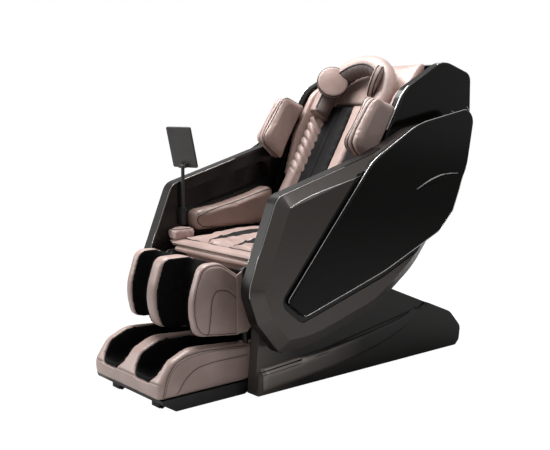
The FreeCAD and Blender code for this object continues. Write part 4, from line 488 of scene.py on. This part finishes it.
# Painted shade: the floor of the channel round each leaf panel is made near black.
shade_channel_floor(bronze_paint, CHANNEL_LOW, CHANNEL_HIGH, (0.004, 0.0035, 0.0035))
band_silver = paint("band_silver", (0.008, 0.0072, 0.0066), (0.014, 0.0124, 0.0115), 0.36, 0.1,
                    0.0, specular=0.2)
gloss_black = paint("gloss_black", (0.0045, 0.004, 0.0037), (0.0075, 0.0066, 0.006), 0.17, 0.0,
                    0.03, specular=0.16)
chrome_line = metal("chrome_line", (0.6, 0.58, 0.57), (0.75, 0.73, 0.72), 0.22)
shader_of(chrome_line).inputs["Metallic"].default_value = 0.55
liner_black = plastic("liner_black", (0.008, 0.0072, 0.007), (0.013, 0.012, 0.0115), 0.2)
dress(bronze_paint, "arm_shell_left", "arm_shell_right")
dress(band_silver, "arm_band_left", "arm_band_right")
dress(gloss_black, "arm_panel_left", "arm_panel_right")
dress(liner_black, "arm_liner_left", "arm_liner_right")
# Painted highlight: a tapered bright line where the shoulder chamfer catches the light.
SHOULDER_HIGHLIGHT = [(-319, 677), (-262, 700), (-160, 727), (-60, 750), (20, 768)]
# Painted highlight: a tapered bright line where the brow crease catches the light.
BROW_HIGHLIGHT = [(300, 702), (350, 724), (394, 740), (469, 757), (545, 752)]
LEAF_FACE = 0.372
LEAF_EDGE = 379
LEAF_FRONT, LEAF_REAR = -275, 600
LEAF_MIDDLE = (150, 620)
TRIM_INSET = 5
BAND_RIMS = (("outer", 347), ("inner", 303))
BAND_EDGE = [(-475, 380), (-457, 483), (-391, 601), (-364, 659), (-336, 694), (-302, 711),
             (-156, 755), (-41, 790)]


def leaf_outline(name, upper):
    """The upper or lower outline of a leaf panel in side view, front to back, in millimetres."""
    spots = sorted({(round(vertex.co.y * 1000), round(vertex.co.z * 1000))
                    for vertex in nodes[name].data.vertices if abs(vertex.co.x) > LEAF_FACE})
    chain = []
    for y, z in spots:
        while len(chain) > 1:
            (y0, z0), (y1, z1) = chain[-2:]
            turn = (y1 - y0) * (z - z0) - (z1 - z0) * (y - y0)
            if turn < 0 if upper else turn > 0:
                break
            chain.pop()
        chain.append((y, z))
    return chain


for side, sign in SIDES:
    panel = f"arm_panel_{side}"
    faces = [f"arm_shell_{side}", panel]
    top_rim = [(y, z) for y, z in leaf_outline(panel, True) if y < LEAF_REAR]
    tube(f"leaf_top_{side}", upright(LEAF_EDGE * sign, top_rim), 0.0015, "seat", chrome_line)
    low_rim = []
    for y, z in leaf_outline(panel, False):
        if LEAF_FRONT < y < LEAF_REAR:
            inward = Vector((LEAF_MIDDLE[0] - y, LEAF_MIDDLE[1] - z)).normalized() * TRIM_INSET
            low_rim.append((y + inward.x, z + inward.y))
    tube(f"leaf_bottom_{side}", on_side(low_rim, [panel], sign), 0.0016, "seat", chrome_line)
    # Painted highlights, not trim: bright lines on the shoulder chamfer and the brow crease.
    tube(f"shoulder_highlight_{side}", on_side(SHOULDER_HIGHLIGHT, faces, sign), 0.0017, "seat",
         chrome_line, taper=True)
    tube(f"brow_highlight_{side}", on_side(BROW_HIGHLIGHT, faces, sign), 0.0028, "seat",
         chrome_line, taper=True)
    band = tree_of(nodes[f"arm_band_{side}"].data)
    for rim, x in BAND_RIMS:
        rim_line = [band.find_nearest(place)[0] for place in route(upright(x * sign, BAND_EDGE))]
        tube(f"band_rim_{rim}_{side}", rim_line, 0.0012, "seat", chrome_line)


# Back shell and side wings. Glossy black mouldings enclose the welded back frame; a bright strip
# edges the front of each wing.
def on_back(x, n, u):
    """A place on the leaning back, from millimetres across, behind the hinge and up it."""
    return Vector((x / 1000, 0, 0)) + HINGE + BACK_NORMAL * (n / 1000) + BACK_UP * (u / 1000)


def back_place(point):
    """Millimetres across, behind the hinge line and up the back."""
    arm = point - HINGE
    return point.x * 1000, arm.dot(BACK_NORMAL) * 1000, arm.dot(BACK_UP) * 1000


LEAN = math.radians(31)
HINGE = Vector((0.0, 0.095, 0.400))
BACK_NORMAL = Vector((0.0, math.cos(LEAN), -math.sin(LEAN)))
BACK_UP = Vector((0.0, math.sin(LEAN), math.cos(LEAN)))
WING_INNER = 280
WING_LOW, WING_HIGH = 505, 925
WING_STEP = 20
dress(gloss_black, "back_shell", "side_shell_left", "side_shell_right")
for side, sign in SIDES:
    front_edge = {}
    for vertex in nodes[f"side_shell_{side}"].data.vertices:
        x, n, u = back_place(vertex.co)
        if x * sign > WING_INNER and WING_LOW < u < WING_HIGH:
            step = round(u / WING_STEP)
            if step not in front_edge or n < front_edge[step][1]:
                front_edge[step] = (x, n, u)
    ordered = [on_back(*front_edge[step]) for step in sorted(front_edge)]
    tube(f"wing_trim_{side}", route(ordered), 0.0028, "backrest", chrome_line)


# Leg rest. The calf unit is a moulded foam body under pearl pink leather, open at the front in
# two deep wells lined with black knit, and the foot unit below has two more.
def leather(name, low, high, roughness=0.42, specular=0.5):
    """Grained leather: fine pebbles, soft creases and slow colour change."""
    mat = material(name, high, roughness, specular=specular, sheen=0.04)
    vary_colour(mat, low, high, 7.0)
    vary_roughness(mat, roughness - 0.07, roughness + 0.08, 26.0)
    grain = add_node(mat, "ShaderNodeTexVoronoi", Scale=620.0, feature="SMOOTH_F1")
    link(mat, coordinates(mat), grain.inputs["Vector"])
    crease = add_node(mat, "ShaderNodeTexNoise", Scale=16.0, Detail=5.0, Roughness=0.55,
                      Distortion=0.6)
    link(mat, coordinates(mat), crease.inputs["Vector"])
    bump(mat, [(crease.outputs["Fac"], 0.35), (grain.outputs["Distance"], 0.12)], 0.002)
    return mat


def fabric(name, low, high):
    """Fine knit: two crossed waves with a little fuzz."""
    mat = material(name, high, 0.85, specular=0.08, sheen=0.02)
    vary_colour(mat, low, high, 40.0)
    warp = add_node(mat, "ShaderNodeTexWave", Scale=300.0, Distortion=0.6, bands_direction="X")
    weft = add_node(mat, "ShaderNodeTexWave", Scale=300.0, Distortion=0.6, bands_direction="Z")
    for wave in (warp, weft):
        link(mat, coordinates(mat), wave.inputs["Vector"])
    most = add_node(mat, "ShaderNodeMath", operation="MAXIMUM")
    link(mat, warp.outputs["Fac"], most.inputs[0])
    link(mat, weft.outputs["Fac"], most.inputs[1])
    bump(mat, [(most.outputs["Value"], 0.3)], 0.0008)
    return mat


def settle(piece):
    """Turn what the modifiers make into the piece's own mesh."""
    view = bpy.context.evaluated_depsgraph_get()
    done = bpy.data.meshes.new_from_object(piece.evaluated_get(view))
    piece.modifiers.clear()
    old = piece.data
    piece.data = done
    bpy.data.meshes.remove(old)


def smooth(piece, rounds):
    softener = piece.modifiers.new("smooth", "SMOOTH")
    softener.factor = 0.5
    softener.iterations = rounds
    settle(piece)


def soft_piece(name, node, body, cover, voxel=0.008, rounds=2, planes=(), pressure=4.0,
               cap=0.008):
    """A puffed copy of a solid, or of the part of it that some planes leave."""
    bm = bmesh.new()
    bm.from_mesh(nodes[node].data)
    bmesh.ops.remove_doubles(bm, verts=bm.verts, dist=1e-5)
    for place, normal in planes:
        everything = bm.verts[:] + bm.edges[:] + bm.faces[:]
        cutting = bmesh.ops.bisect_plane(bm, geom=everything, plane_co=place, plane_no=normal,
                                         clear_outer=True)
        rim = [item for item in cutting["geom_cut"] if isinstance(item, bmesh.types.BMEdge)]
        bmesh.ops.holes_fill(bm, edges=rim, sides=0)
    mesh = bpy.data.meshes.new(name)
    bm.to_mesh(mesh)
    bm.free()
    piece = take_in(name, mesh, body, cover)
    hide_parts(node)
    even = piece.modifiers.new("even", "REMESH")
    even.mode = "VOXEL"
    even.voxel_size = voxel
    settle(piece)
    smooth(piece, rounds)
    piece.data.materials.clear()
    piece.data.materials.append(cover)
    waiting.append((piece, pressure, cap))
    return piece


def blow_up():
    """Run the cloth of every waiting piece at once, and hold each point near its start."""
    starts = {}
    for piece, pressure, _ in waiting:
        starts[piece.name] = [vertex.co.copy() for vertex in piece.data.vertices]
        if pressure == 0:
            continue
        cloth = piece.modifiers.new("cloth", "CLOTH")
        cloth.settings.quality = 4
        cloth.settings.mass = 0.3
        cloth.settings.tension_stiffness = 12
        cloth.settings.compression_stiffness = 12
        cloth.settings.shear_stiffness = 4
        cloth.settings.bending_stiffness = 0.8
        cloth.settings.use_pressure = True
        cloth.settings.uniform_pressure_force = pressure
        cloth.settings.effector_weights.gravity = 0.0
        cloth.collision_settings.use_collision = False
        cloth.point_cache.frame_start = 1
        cloth.point_cache.frame_end = CLOTH_FRAMES
    for step in range(1, CLOTH_FRAMES + 1):
        scene.frame_set(step)
    for piece, _, cap in waiting:
        settle(piece)
        for vertex, start in zip(piece.data.vertices, starts[piece.name]):
            move = vertex.co - start
            if move.length > cap:
                vertex.co = start + move * (cap / move.length)
        smooth(piece, 2)
        finer = piece.modifiers.new("finer", "SUBSURF")
        finer.levels = finer.render_levels = 1
        settle(piece)
        for face in piece.data.polygons:
            face.use_smooth = True
    scene.frame_set(1)
    waiting.clear()


def fine(line):
    """The line cut into short steps."""
    places = []
    for first, last in zip(line, line[1:]):
        count = max(1, int((last - first).length / LINE_STEP))
        places += [first.lerp(last, index / count) for index in range(count)]
    places.append(line[-1])
    return places


def lay_on(line, piece, sink=0.0):
    """Move a line onto a piece's surface, or a little under it."""
    tree = tree_of(piece.data)
    laid = []
    for point in line:
        place, normal, _, _ = tree.find_nearest(point)
        laid.append(place - normal * sink)
    return laid


def groove(piece, line, width, depth):
    """Press a seam into a piece along a line on its surface."""
    places = fine(line)
    tree = KDTree(len(places))
    for index, place in enumerate(places):
        tree.insert(place, index)
    tree.balance()
    normals = [vertex.normal.copy() for vertex in piece.data.vertices]
    for vertex, normal in zip(piece.data.vertices, normals):
        _, _, distance = tree.find(vertex.co)
        if distance < width * 3:
            vertex.co -= normal * depth * math.exp(-(distance / width) ** 2)


def seam(name, piece, points, body, width=0.004, depth=0.003, thread=0.0011):
    """A sewn seam: a groove with the thread line in it."""
    line = lay_on(route(points), piece)
    groove(piece, line, width, depth)
    laid = lay_on(line, piece, sink=-thread * SINK_SHARE)
    return tube(name, laid, thread, body, piping)


def welt(name, piece, points, body, radius=0.0026, closed=False):
    """A piped edge, sunk a little into the surface."""
    line = lay_on(route(points, closed), piece, sink=radius * SINK_SHARE)
    tube(name, line, radius, body, piping, closed)


def swell(piece, height):
    """Move each point along its normal by height(place)."""
    moves = [(vertex, vertex.normal.copy(), height(vertex.co)) for vertex in piece.data.vertices]
    for vertex, normal, move in moves:
        vertex.co += normal * move


waiting = []
CLOTH_FRAMES = 20
LINE_STEP = 0.002
SINK_SHARE = 0.2
pink = leather("pink_leather", (0.325, 0.232, 0.206), (0.425, 0.310, 0.278), 0.34)
piping = leather("piping_dark", (0.008, 0.006, 0.0055), (0.015, 0.011, 0.010), 0.4)
knit = fabric("black_fabric", (0.0035, 0.0033, 0.0035), (0.007, 0.0066, 0.007))
calf = soft_piece("calf_cover", "calf_shell", "leg_rest", pink, 0.006, 8,
                  pressure=0)
soft_piece("calf_wells", "calf_lining", "leg_rest", knit, 0.006, 3, pressure=0)
foot = soft_piece("foot_cover", "foot_shell", "foot_rest", pink, 0.006, 6,
                  pressure=0)
soft_piece("foot_wells", "foot_lining", "foot_rest", knit, 0.0065, 3, pressure=0)
blow_up()
CALF_SEAM = [(-420, 435), (-462, 466), (-508, 485), (-553, 484), (-584, 466), (-602, 431),
             (-616, 374), (-615, 322), (-604, 276), (-574, 245), (-511, 232), (-417, 230)]
CALF_PANEL = [(-558, 232), (-556, 246), (-546, 312), (-541, 364), (-527, 392), (-500, 396),
              (-463, 385), (-440, 360)]
FOOT_SEAM = [(-741, 62), (-732, 111), (-715, 149), (-683, 180), (-636, 192), (-562, 197),
             (-469, 193), (-390, 186)]
FOOT_LOW_SEAM = [(-686, 58), (-673, 85), (-649, 115), (-612, 139), (-563, 147), (-495, 148),
                 (-391, 147)]
FOOT_EDGE_SEAM = [(y + 4, z - 9) for y, z in FOOT_SEAM]
TOE_CREASE = [(-222, -752, 106), (-120, -756, 106), (0, -756, 106), (120, -756, 106),
              (222, -752, 106)]
LEG_SIDE = 227
for side, sign in SIDES:
    x = LEG_SIDE * sign
    seam(f"calf_seam_{side}", calf, upright(x, CALF_SEAM), "leg_rest")
    seam(f"calf_panel_seam_{side}", calf, upright(x, CALF_PANEL), "leg_rest")
    seam(f"foot_seam_{side}", foot, upright(x, FOOT_SEAM), "foot_rest")
    seam(f"foot_low_seam_{side}", foot, upright(x, FOOT_LOW_SEAM), "foot_rest")
    seam(f"foot_edge_seam_{side}", foot, upright(x, FOOT_EDGE_SEAM), "foot_rest", 0.003, 0.0012,
         0.0006)
seam("toe_crease", foot, mm(TOE_CREASE), "foot_rest", 0.004, 0.002, 0.0006)

# A thin leather skirt lies over the rear edge of the calf unit on each side.
SKIRT = [(-440, 440), (-418, 452), (-392, 430), (-376, 380), (-372, 300), (-378, 250), (-396, 233),
         (-440, 232)]
SKIRT_INNER = 227.4
SKIRT_THICK = 0.0046
for side, sign in SIDES:
    bm = bmesh.new()
    rim = [bm.verts.new(place) for place in upright(SKIRT_INNER * sign, SKIRT)]
    face = bm.faces.new(rim)
    grown = bmesh.ops.extrude_face_region(bm, geom=[face])
    risen = [item for item in grown["geom"] if isinstance(item, bmesh.types.BMVert)]
    bmesh.ops.translate(bm, vec=(SKIRT_THICK * sign, 0, 0), verts=risen)
    bmesh.ops.recalc_face_normals(bm, faces=bm.faces)
    bmesh.ops.bevel(bm, geom=bm.edges[:], offset=0.0018, segments=3, profile=0.5,
                    affect="EDGES", material=-1)
    mesh = bpy.data.meshes.new(f"calf_skirt_{side}")
    bm.to_mesh(mesh)
    bm.free()
    take_in(f"calf_skirt_{side}", mesh, "leg_rest", pink)


# Seat. A crowned leather cushion with black inserts that carry on from the back, lying on a
# folded layer and a rolled lip, with a small piped hip pad at each front corner.
def inlay(piece, outline, cover, facing):
    """Let another cover into a piece inside a plan outline of (x, y) in metres."""
    bm = bmesh.new()
    bm.from_mesh(piece.data)
    corners = [Vector((x, y, 0)) for x, y in outline]
    for first, last in zip(corners, corners[1:] + corners[:1]):
        across = (last - first).cross(Vector((0, 0, 1))).normalized()
        near = [face for face in bm.faces if face.normal.z > facing]
        edges = {edge for face in near for edge in face.edges}
        points = {point for face in near for point in face.verts}
        bmesh.ops.bisect_plane(bm, geom=list(points) + list(edges) + near, plane_co=first,
                               plane_no=across)
    piece.data.materials.append(cover)
    index = len(piece.data.materials) - 1
    for face in bm.faces:
        middle = face.calc_center_median()
        inside = False
        for first, last in zip(corners, corners[1:] + corners[:1]):
            if (first.y > middle.y) != (last.y > middle.y):
                share = (middle.y - first.y) / (last.y - first.y)
                if middle.x < first.x + share * (last.x - first.x):
                    inside = not inside
        if inside and face.normal.z > facing:
            face.material_index = index
    bm.to_mesh(piece.data)
    bm.free()


def seat_folds(place):
    """Loose folds across the front of the cushion, deepest near its front edge."""
    if place.z < FOLDS_ABOVE or place.y > FOLDS_REAR:
        return 0.0
    share = min(1.0, (FOLDS_REAR - place.y) / 0.15)
    ridge = noise.noise(Vector((place.x * 8, place.y * 24 + place.x * 5, 1.7)))
    return SEAT_FOLD * share * (0.45 - min(1.0, abs(ridge) * 3.2))


def hip_folds(place):
    """Gathered folds on the little pads, running in from their sewn corners."""
    ridge = noise.noise(Vector((place.x * 30, place.y * 30 + place.z * 20, 4.2)))
    return HIP_FOLD * (0.4 - min(1.0, abs(ridge) * 3.0))


black_leather = leather("black_leather", (0.004, 0.0037, 0.004), (0.007, 0.0066, 0.0068), 0.55,
                        0.09)
SEAT_SPLIT = 0.5005
SEAT_HALF = 0.228
HIP_INNER, HIP_REAR = 0.226, -0.297
FOLDS_ABOVE, FOLDS_REAR = 0.503, -0.12
SEAT_FOLD, HIP_FOLD = 0.0055, 0.004
SEAT_INSERT = [(38, 5), (108, 5), (118, -160), (112, -270), (78, -344), (52, -250), (38, -120)]
HIP_PAD_RIM = [(234, -350), (234, -379), (262, -382), (288, -379), (291, -340), (291, -300),
               (262, -298), (236, -300)]
SEAT_FRONT = [(-228, -366, 506), (-120, -368, 506), (0, -368, 506), (120, -368, 506),
              (228, -366, 506)]
LAYER_FRONT = [(-262, -393, 486), (-120, -393, 486), (0, -393, 486), (120, -393, 486),
               (262, -393, 486)]
seat = soft_piece("seat_pad", "seat_cushion", "seat", pink, 0.007,
                  planes=[((0, 0, SEAT_SPLIT), (0, 0, -1)), ((SEAT_HALF, 0, 0), (1, 0, 0)),
                          ((-SEAT_HALF, 0, 0), (-1, 0, 0))], cap=0.007)
hip_pads = {}
for side, sign in SIDES:
    hip_pads[side] = soft_piece(
        f"hip_pad_{side}", "seat_cushion", "seat", pink, 0.005, 14,
        planes=[((HIP_INNER * sign, 0, 0), (-sign, 0, 0)), ((0, HIP_REAR, 0), (0, 1, 0)),
                ((0, 0, SEAT_SPLIT), (0, 0, -1))], pressure=7.0, cap=0.010)
seat_layer = soft_piece("seat_layer", "seat_cushion", "seat", pink, 0.007,
                        planes=[((0, 0, SEAT_SPLIT), (0, 0, 1))], pressure=2.0, cap=0.003)
soft_piece("seat_lip", "seat_flap", "seat", pink, 0.006, pressure=2.0, cap=0.003)
blow_up()
swell(seat, seat_folds)
for side, sign in SIDES:
    insert = [(x * sign / 1000, y / 1000) for x, y in SEAT_INSERT]
    inlay(seat, insert, black_leather, 0.35)
    seam(f"seat_insert_seam_{side}", seat, [Vector((x, y, 0.53)) for x, y in insert[1:]], "seat",
         0.005, 0.0025, 0.0012)
    swell(hip_pads[side], hip_folds)
    welt(f"hip_pad_welt_{side}", hip_pads[side], mm([(x * sign, y, 541) for x, y in HIP_PAD_RIM]),
         "seat", 0.0022, closed=True)
welt("seat_front_welt", seat, mm(SEAT_FRONT), "seat", 0.0022)
welt("seat_layer_welt", seat_layer, mm(LAYER_FRONT), "seat", 0.002)


# Forearm pads. A padded wedge under pink leather, painted darker and browner as shade, lies in
# each arm's pocket, piped along its top edge.
# Painted shade: a darker, browner copy of the pink leather for the shaded forearm pads.
pink_painted_shade = leather("pink_painted_shade", (0.19, 0.128, 0.108), (0.25, 0.172, 0.147), 0.38)
arm_pads = {}
for side in ("left", "right"):
    arm_pads[side] = soft_piece(f"forearm_pad_{side}", f"arm_pad_{side}", "seat", pink_painted_shade)
blow_up()
PAD_SIDE = 236
PAD_LINE = [(-190, 541), (-250, 541), (-281, 560), (-278, 586), (-240, 598), (-150, 621),
            (-40, 647), (60, 669), (112, 676)]
for side, sign in SIDES:
    welt(f"forearm_welt_{side}", arm_pads[side], upright(PAD_SIDE * sign, PAD_LINE), "seat",
         0.0022)


# Backrest padding. Foam under leather, in front of the back frame: a pink middle between two
# black strips, and outside them two bolsters quilted in slanting channels.
def quilting(place):
    """Slanting channels over the bolster's flank and crest, with a valley at each pitch."""
    x, n, u = back_place(place)
    girth = max(0, abs(x) - STRIP_OUT * 1000) + min(FLANK_DEEP, max(0, FLANK_REAR - n))
    if girth < QUILT_START or not QUILT_LOW < u < QUILT_HIGH:
        return 0.0
    share = min(1.0, (girth - QUILT_START) / 10, (u - QUILT_LOW) / 15, (QUILT_HIGH - u) / 15)
    ridge = abs(math.sin(math.pi * (u - QUILT_SLANT * girth) / QUILT_PITCH))
    return share * QUILT_RISE * (math.sqrt(ridge) - 0.7)


STRIP_IN = 0.036
STRIP_OUT = 0.160
STRIP_UNDER = 0.008
STRIP_SEAM = 104
STRIP_FRONT = -80
MIDDLE_OVER = 0.003
ROLLER_ROOM = 0.007
REAR_FACING = 0.3
FLANK_REAR, FLANK_DEEP = -60, 60
QUILT_START = 6
QUILT_LOW, QUILT_HIGH = 330, 655
QUILT_PITCH = 36
QUILT_SLANT = 0.62
QUILT_RISE = 0.008
soft_piece("back_middle", "back_pad", "backrest", pink, 0.007, 1,
           planes=[((STRIP_IN + MIDDLE_OVER, 0, 0), (1, 0, 0)),
                   ((-STRIP_IN - MIDDLE_OVER, 0, 0), (-1, 0, 0))], pressure=3.0, cap=0.006)
strips = {}
bolsters = {}
for side, sign in SIDES:
    strips[side] = soft_piece(
        f"back_strip_{side}", "back_pad", "backrest", black_leather, 0.008, 1,
        planes=[(((STRIP_IN - STRIP_UNDER) * sign, 0, 0), (-sign, 0, 0)),
                (((STRIP_OUT + STRIP_UNDER) * sign, 0, 0), (sign, 0, 0))],
        pressure=3.0, cap=0.006)
    bolsters[side] = soft_piece(
        f"back_bolster_{side}", "back_pad", "backrest", pink, 0.007,
        planes=[((STRIP_OUT * sign, 0, 0), (-sign, 0, 0))], pressure=2.0, cap=0.004)
blow_up()
for side, sign in SIDES:
    swell(bolsters[side], quilting)
    strip = strips[side]
    line = route([on_back(STRIP_SEAM * sign, STRIP_FRONT, u) for u in (130, 260, 390, 520, 670)])
    groove(strip, lay_on(line, strip), 0.007, 0.009)
    # The rear face is drawn forward, so that the rollers behind it have room to nod.
    for vertex in strip.data.vertices:
        if vertex.normal.dot(BACK_NORMAL) > REAR_FACING:
            vertex.co -= BACK_NORMAL * ROLLER_ROOM


# Back flap. A slack strip of black cloth joins the seat's rear edge to the foot of the back pad,
# so that the gap over the hinge stays covered as the back reclines.
FLAP_PROFILE = [(6, 500), (22, 482), (45, 474), (70, 480), (86, 494)]
FLAP_HALF = 208
FLAP_CELL = 16
flap_rows = [[Vector((x / 1000, place.y, place.z))
              for x in range(-FLAP_HALF, FLAP_HALF + 1, FLAP_CELL)]
             for place in route(upright(0, FLAP_PROFILE))]
back_flap = ribbon("back_flap", flap_rows, 0.002, None, knit)
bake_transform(back_flap)


# Head end. A shield-shaped panel under a thick padded arch; the arch's inner half is gathered
# brown leather inside a dark welt, and two round speaker pads face the ears.
def reface(piece, cover, chosen):
    """Give the faces whose middle chosen(place) picks another cover."""
    piece.data.materials.append(cover)
    for face in piece.data.polygons:
        if chosen(face.center):
            face.material_index = 1


def arch_spot(place):
    """Distance out of the arch's ring line, and the angle round it."""
    x, n, u = back_place(place)
    if u > ARCH_SHOULDER:
        return math.hypot(x, u - ARCH_SHOULDER) - ARCH_HALF, math.atan2(u - ARCH_SHOULDER, x), n
    return abs(x) - ARCH_HALF, 0.0 if x > 0 else math.pi, n


def in_arch(place):
    """Whether a face lies inside the arch's welt and behind it."""
    out_of_ring, _, n = arch_spot(place)
    return out_of_ring < WELT_OUT and n > LINED_DEPTH


def gathers(place):
    """Shallow pleats across the inner half of the arch."""
    out_of_ring, angle, _ = arch_spot(place)
    if out_of_ring > WELT_OUT:
        return 0.0
    share = min(1.0, (WELT_OUT - out_of_ring) / 14)
    return PLEAT_RISE * share * (abs(math.sin(angle * PLEATS)) - 0.6)


ARCH_SHOULDER = 667
ARCH_HALF = 170
WELT_OUT = -15
WELT_RADIUS = ARCH_HALF + WELT_OUT
WELT_FOOT = 612
WELT_DEPTH = -162
LINED_DEPTH = -159
PLEATS = 15
PLEAT_RISE = 0.0022
brown_leather = leather("brown_leather", (0.085, 0.062, 0.056), (0.13, 0.095, 0.086), 0.42)
soft_piece("head_panel", "head_cushion", "backrest", pink, 0.007)
arch = soft_piece("head_arch_pad", "head_arch", "backrest", pink, 0.007,
                  pressure=3.0, cap=0.005)
soft_piece("wing_liner", "wing_lining", "backrest", pink, 0.009, pressure=3.0,
           cap=0.006)
blow_up()
reface(arch, brown_leather, in_arch)
swell(arch, gathers)
ring = [on_back(-WELT_RADIUS, WELT_DEPTH, WELT_FOOT)]
for turn in range(0, 181, 15):
    angle = math.radians(180 - turn)
    ring.append(on_back(WELT_RADIUS * math.cos(angle), WELT_DEPTH,
                        ARCH_SHOULDER + WELT_RADIUS * math.sin(angle)))
ring.append(on_back(WELT_RADIUS, WELT_DEPTH, WELT_FOOT))
welt("arch_welt", arch, ring, "backrest", 0.0042)
EAR_TURN = math.radians(40)
EAR_RADIUS = 0.065
EAR_THICK = 0.030
EAR_REACH = 59
EAR_PLACE = (-121, 736)
EAR_WELT_REACH = 0.985
EAR_WELT_LIFT = 0.279
for side, sign in SIDES:
    facing = Vector((-sign * math.cos(EAR_TURN), -math.sin(EAR_TURN), 0))
    spot = Vector((ARCH_HALF * sign, *EAR_PLACE)) + facing * EAR_REACH
    normal = on_back(*facing) - on_back(0, 0, 0)
    bm = bmesh.new()
    bmesh.ops.create_cone(bm, cap_ends=True, segments=48, radius1=EAR_RADIUS,
                          radius2=EAR_RADIUS, depth=EAR_THICK)
    rims = [edge for edge in bm.edges if len(edge.link_faces) == 2
            and any(len(face.verts) > 4 for face in edge.link_faces)]
    bmesh.ops.bevel(bm, geom=rims, offset=0.010, segments=5, profile=0.5, affect="EDGES",
                    material=-1)
    caps = [face for face in bm.faces if len(face.verts) > 8]
    for ring_in in range(3):
        bmesh.ops.inset_region(bm, faces=caps, thickness=0.014, depth=0.0024 / (ring_in + 1))
    turn_to = normal.to_track_quat("Z", "Y").to_matrix().to_4x4()
    turn_to.translation = on_back(*spot)
    bmesh.ops.transform(bm, matrix=turn_to, verts=bm.verts)
    mesh = bpy.data.meshes.new(f"ear_cushion_{side}")
    bm.to_mesh(mesh)
    bm.free()
    ear = take_in(f"ear_cushion_{side}", mesh, "backrest", pink)
    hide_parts("ear_pads")
    for edge_name, lift in (("front", EAR_WELT_LIFT), ("back", -EAR_WELT_LIFT)):
        rim = []
        for turn in range(0, 360, 15):
            angle = math.radians(turn)
            rim.append(turn_to @ Vector((math.cos(angle) * EAR_RADIUS * EAR_WELT_REACH,
                                         math.sin(angle) * EAR_RADIUS * EAR_WELT_REACH,
                                         EAR_THICK * lift)))
        tube(f"ear_welt_{edge_name}_{side}", route(rim, True), 0.0032, "backrest", piping,
             closed=True)


# Shoulder pads. Three air cushions under pink leather lie on each other beside each shoulder,
# with piping sewn round each.
shoulders = {}
for side in ("left", "right"):
    shoulders[side] = soft_piece(f"shoulder_cushion_{side}", f"shoulder_pad_{side}", "backrest",
                                 pink, 0.006, 4, cap=0.005)
blow_up()
SHOULDER_SEAMS = (240, 254, 276)
SHOULDER_RIM = [(-165, 366), (-240, 366), (-284, 384), (-290, 420), (-284, 520), (-276, 580),
                (-250, 604), (-165, 620)]
for side, sign in SIDES:
    pressed = [shoulders[side]]
    for index, x in enumerate(SHOULDER_SEAMS):
        pressed.append(seam(f"shoulder_seam_{side}_{index}", shoulders[side],
                            [on_back(x * sign, n, u) for n, u in SHOULDER_RIM], "backrest",
                            0.005, 0.004 if index else 0.001, 0.0022))
    for piece in pressed:
        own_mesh(piece)


# Hand tablet. A thin dark plastic case with a glass front, hinged on a painted steel pole that
# swivels in a socket at the right arm.
screen_glass = paint("screen_glass", (0.006, 0.006, 0.008), (0.009, 0.009, 0.012), 0.06, 0, 1.0,
                     3.0)
tablet_grey = plastic("tablet_grey", (0.05, 0.047, 0.046), (0.065, 0.06, 0.058), 0.4)
dress(tablet_grey, "tablet_case")
dress(black_plastic, "tablet_socket")
dress(frame_paint, "tablet_pole")
dress(screen_glass, "tablet_screen")
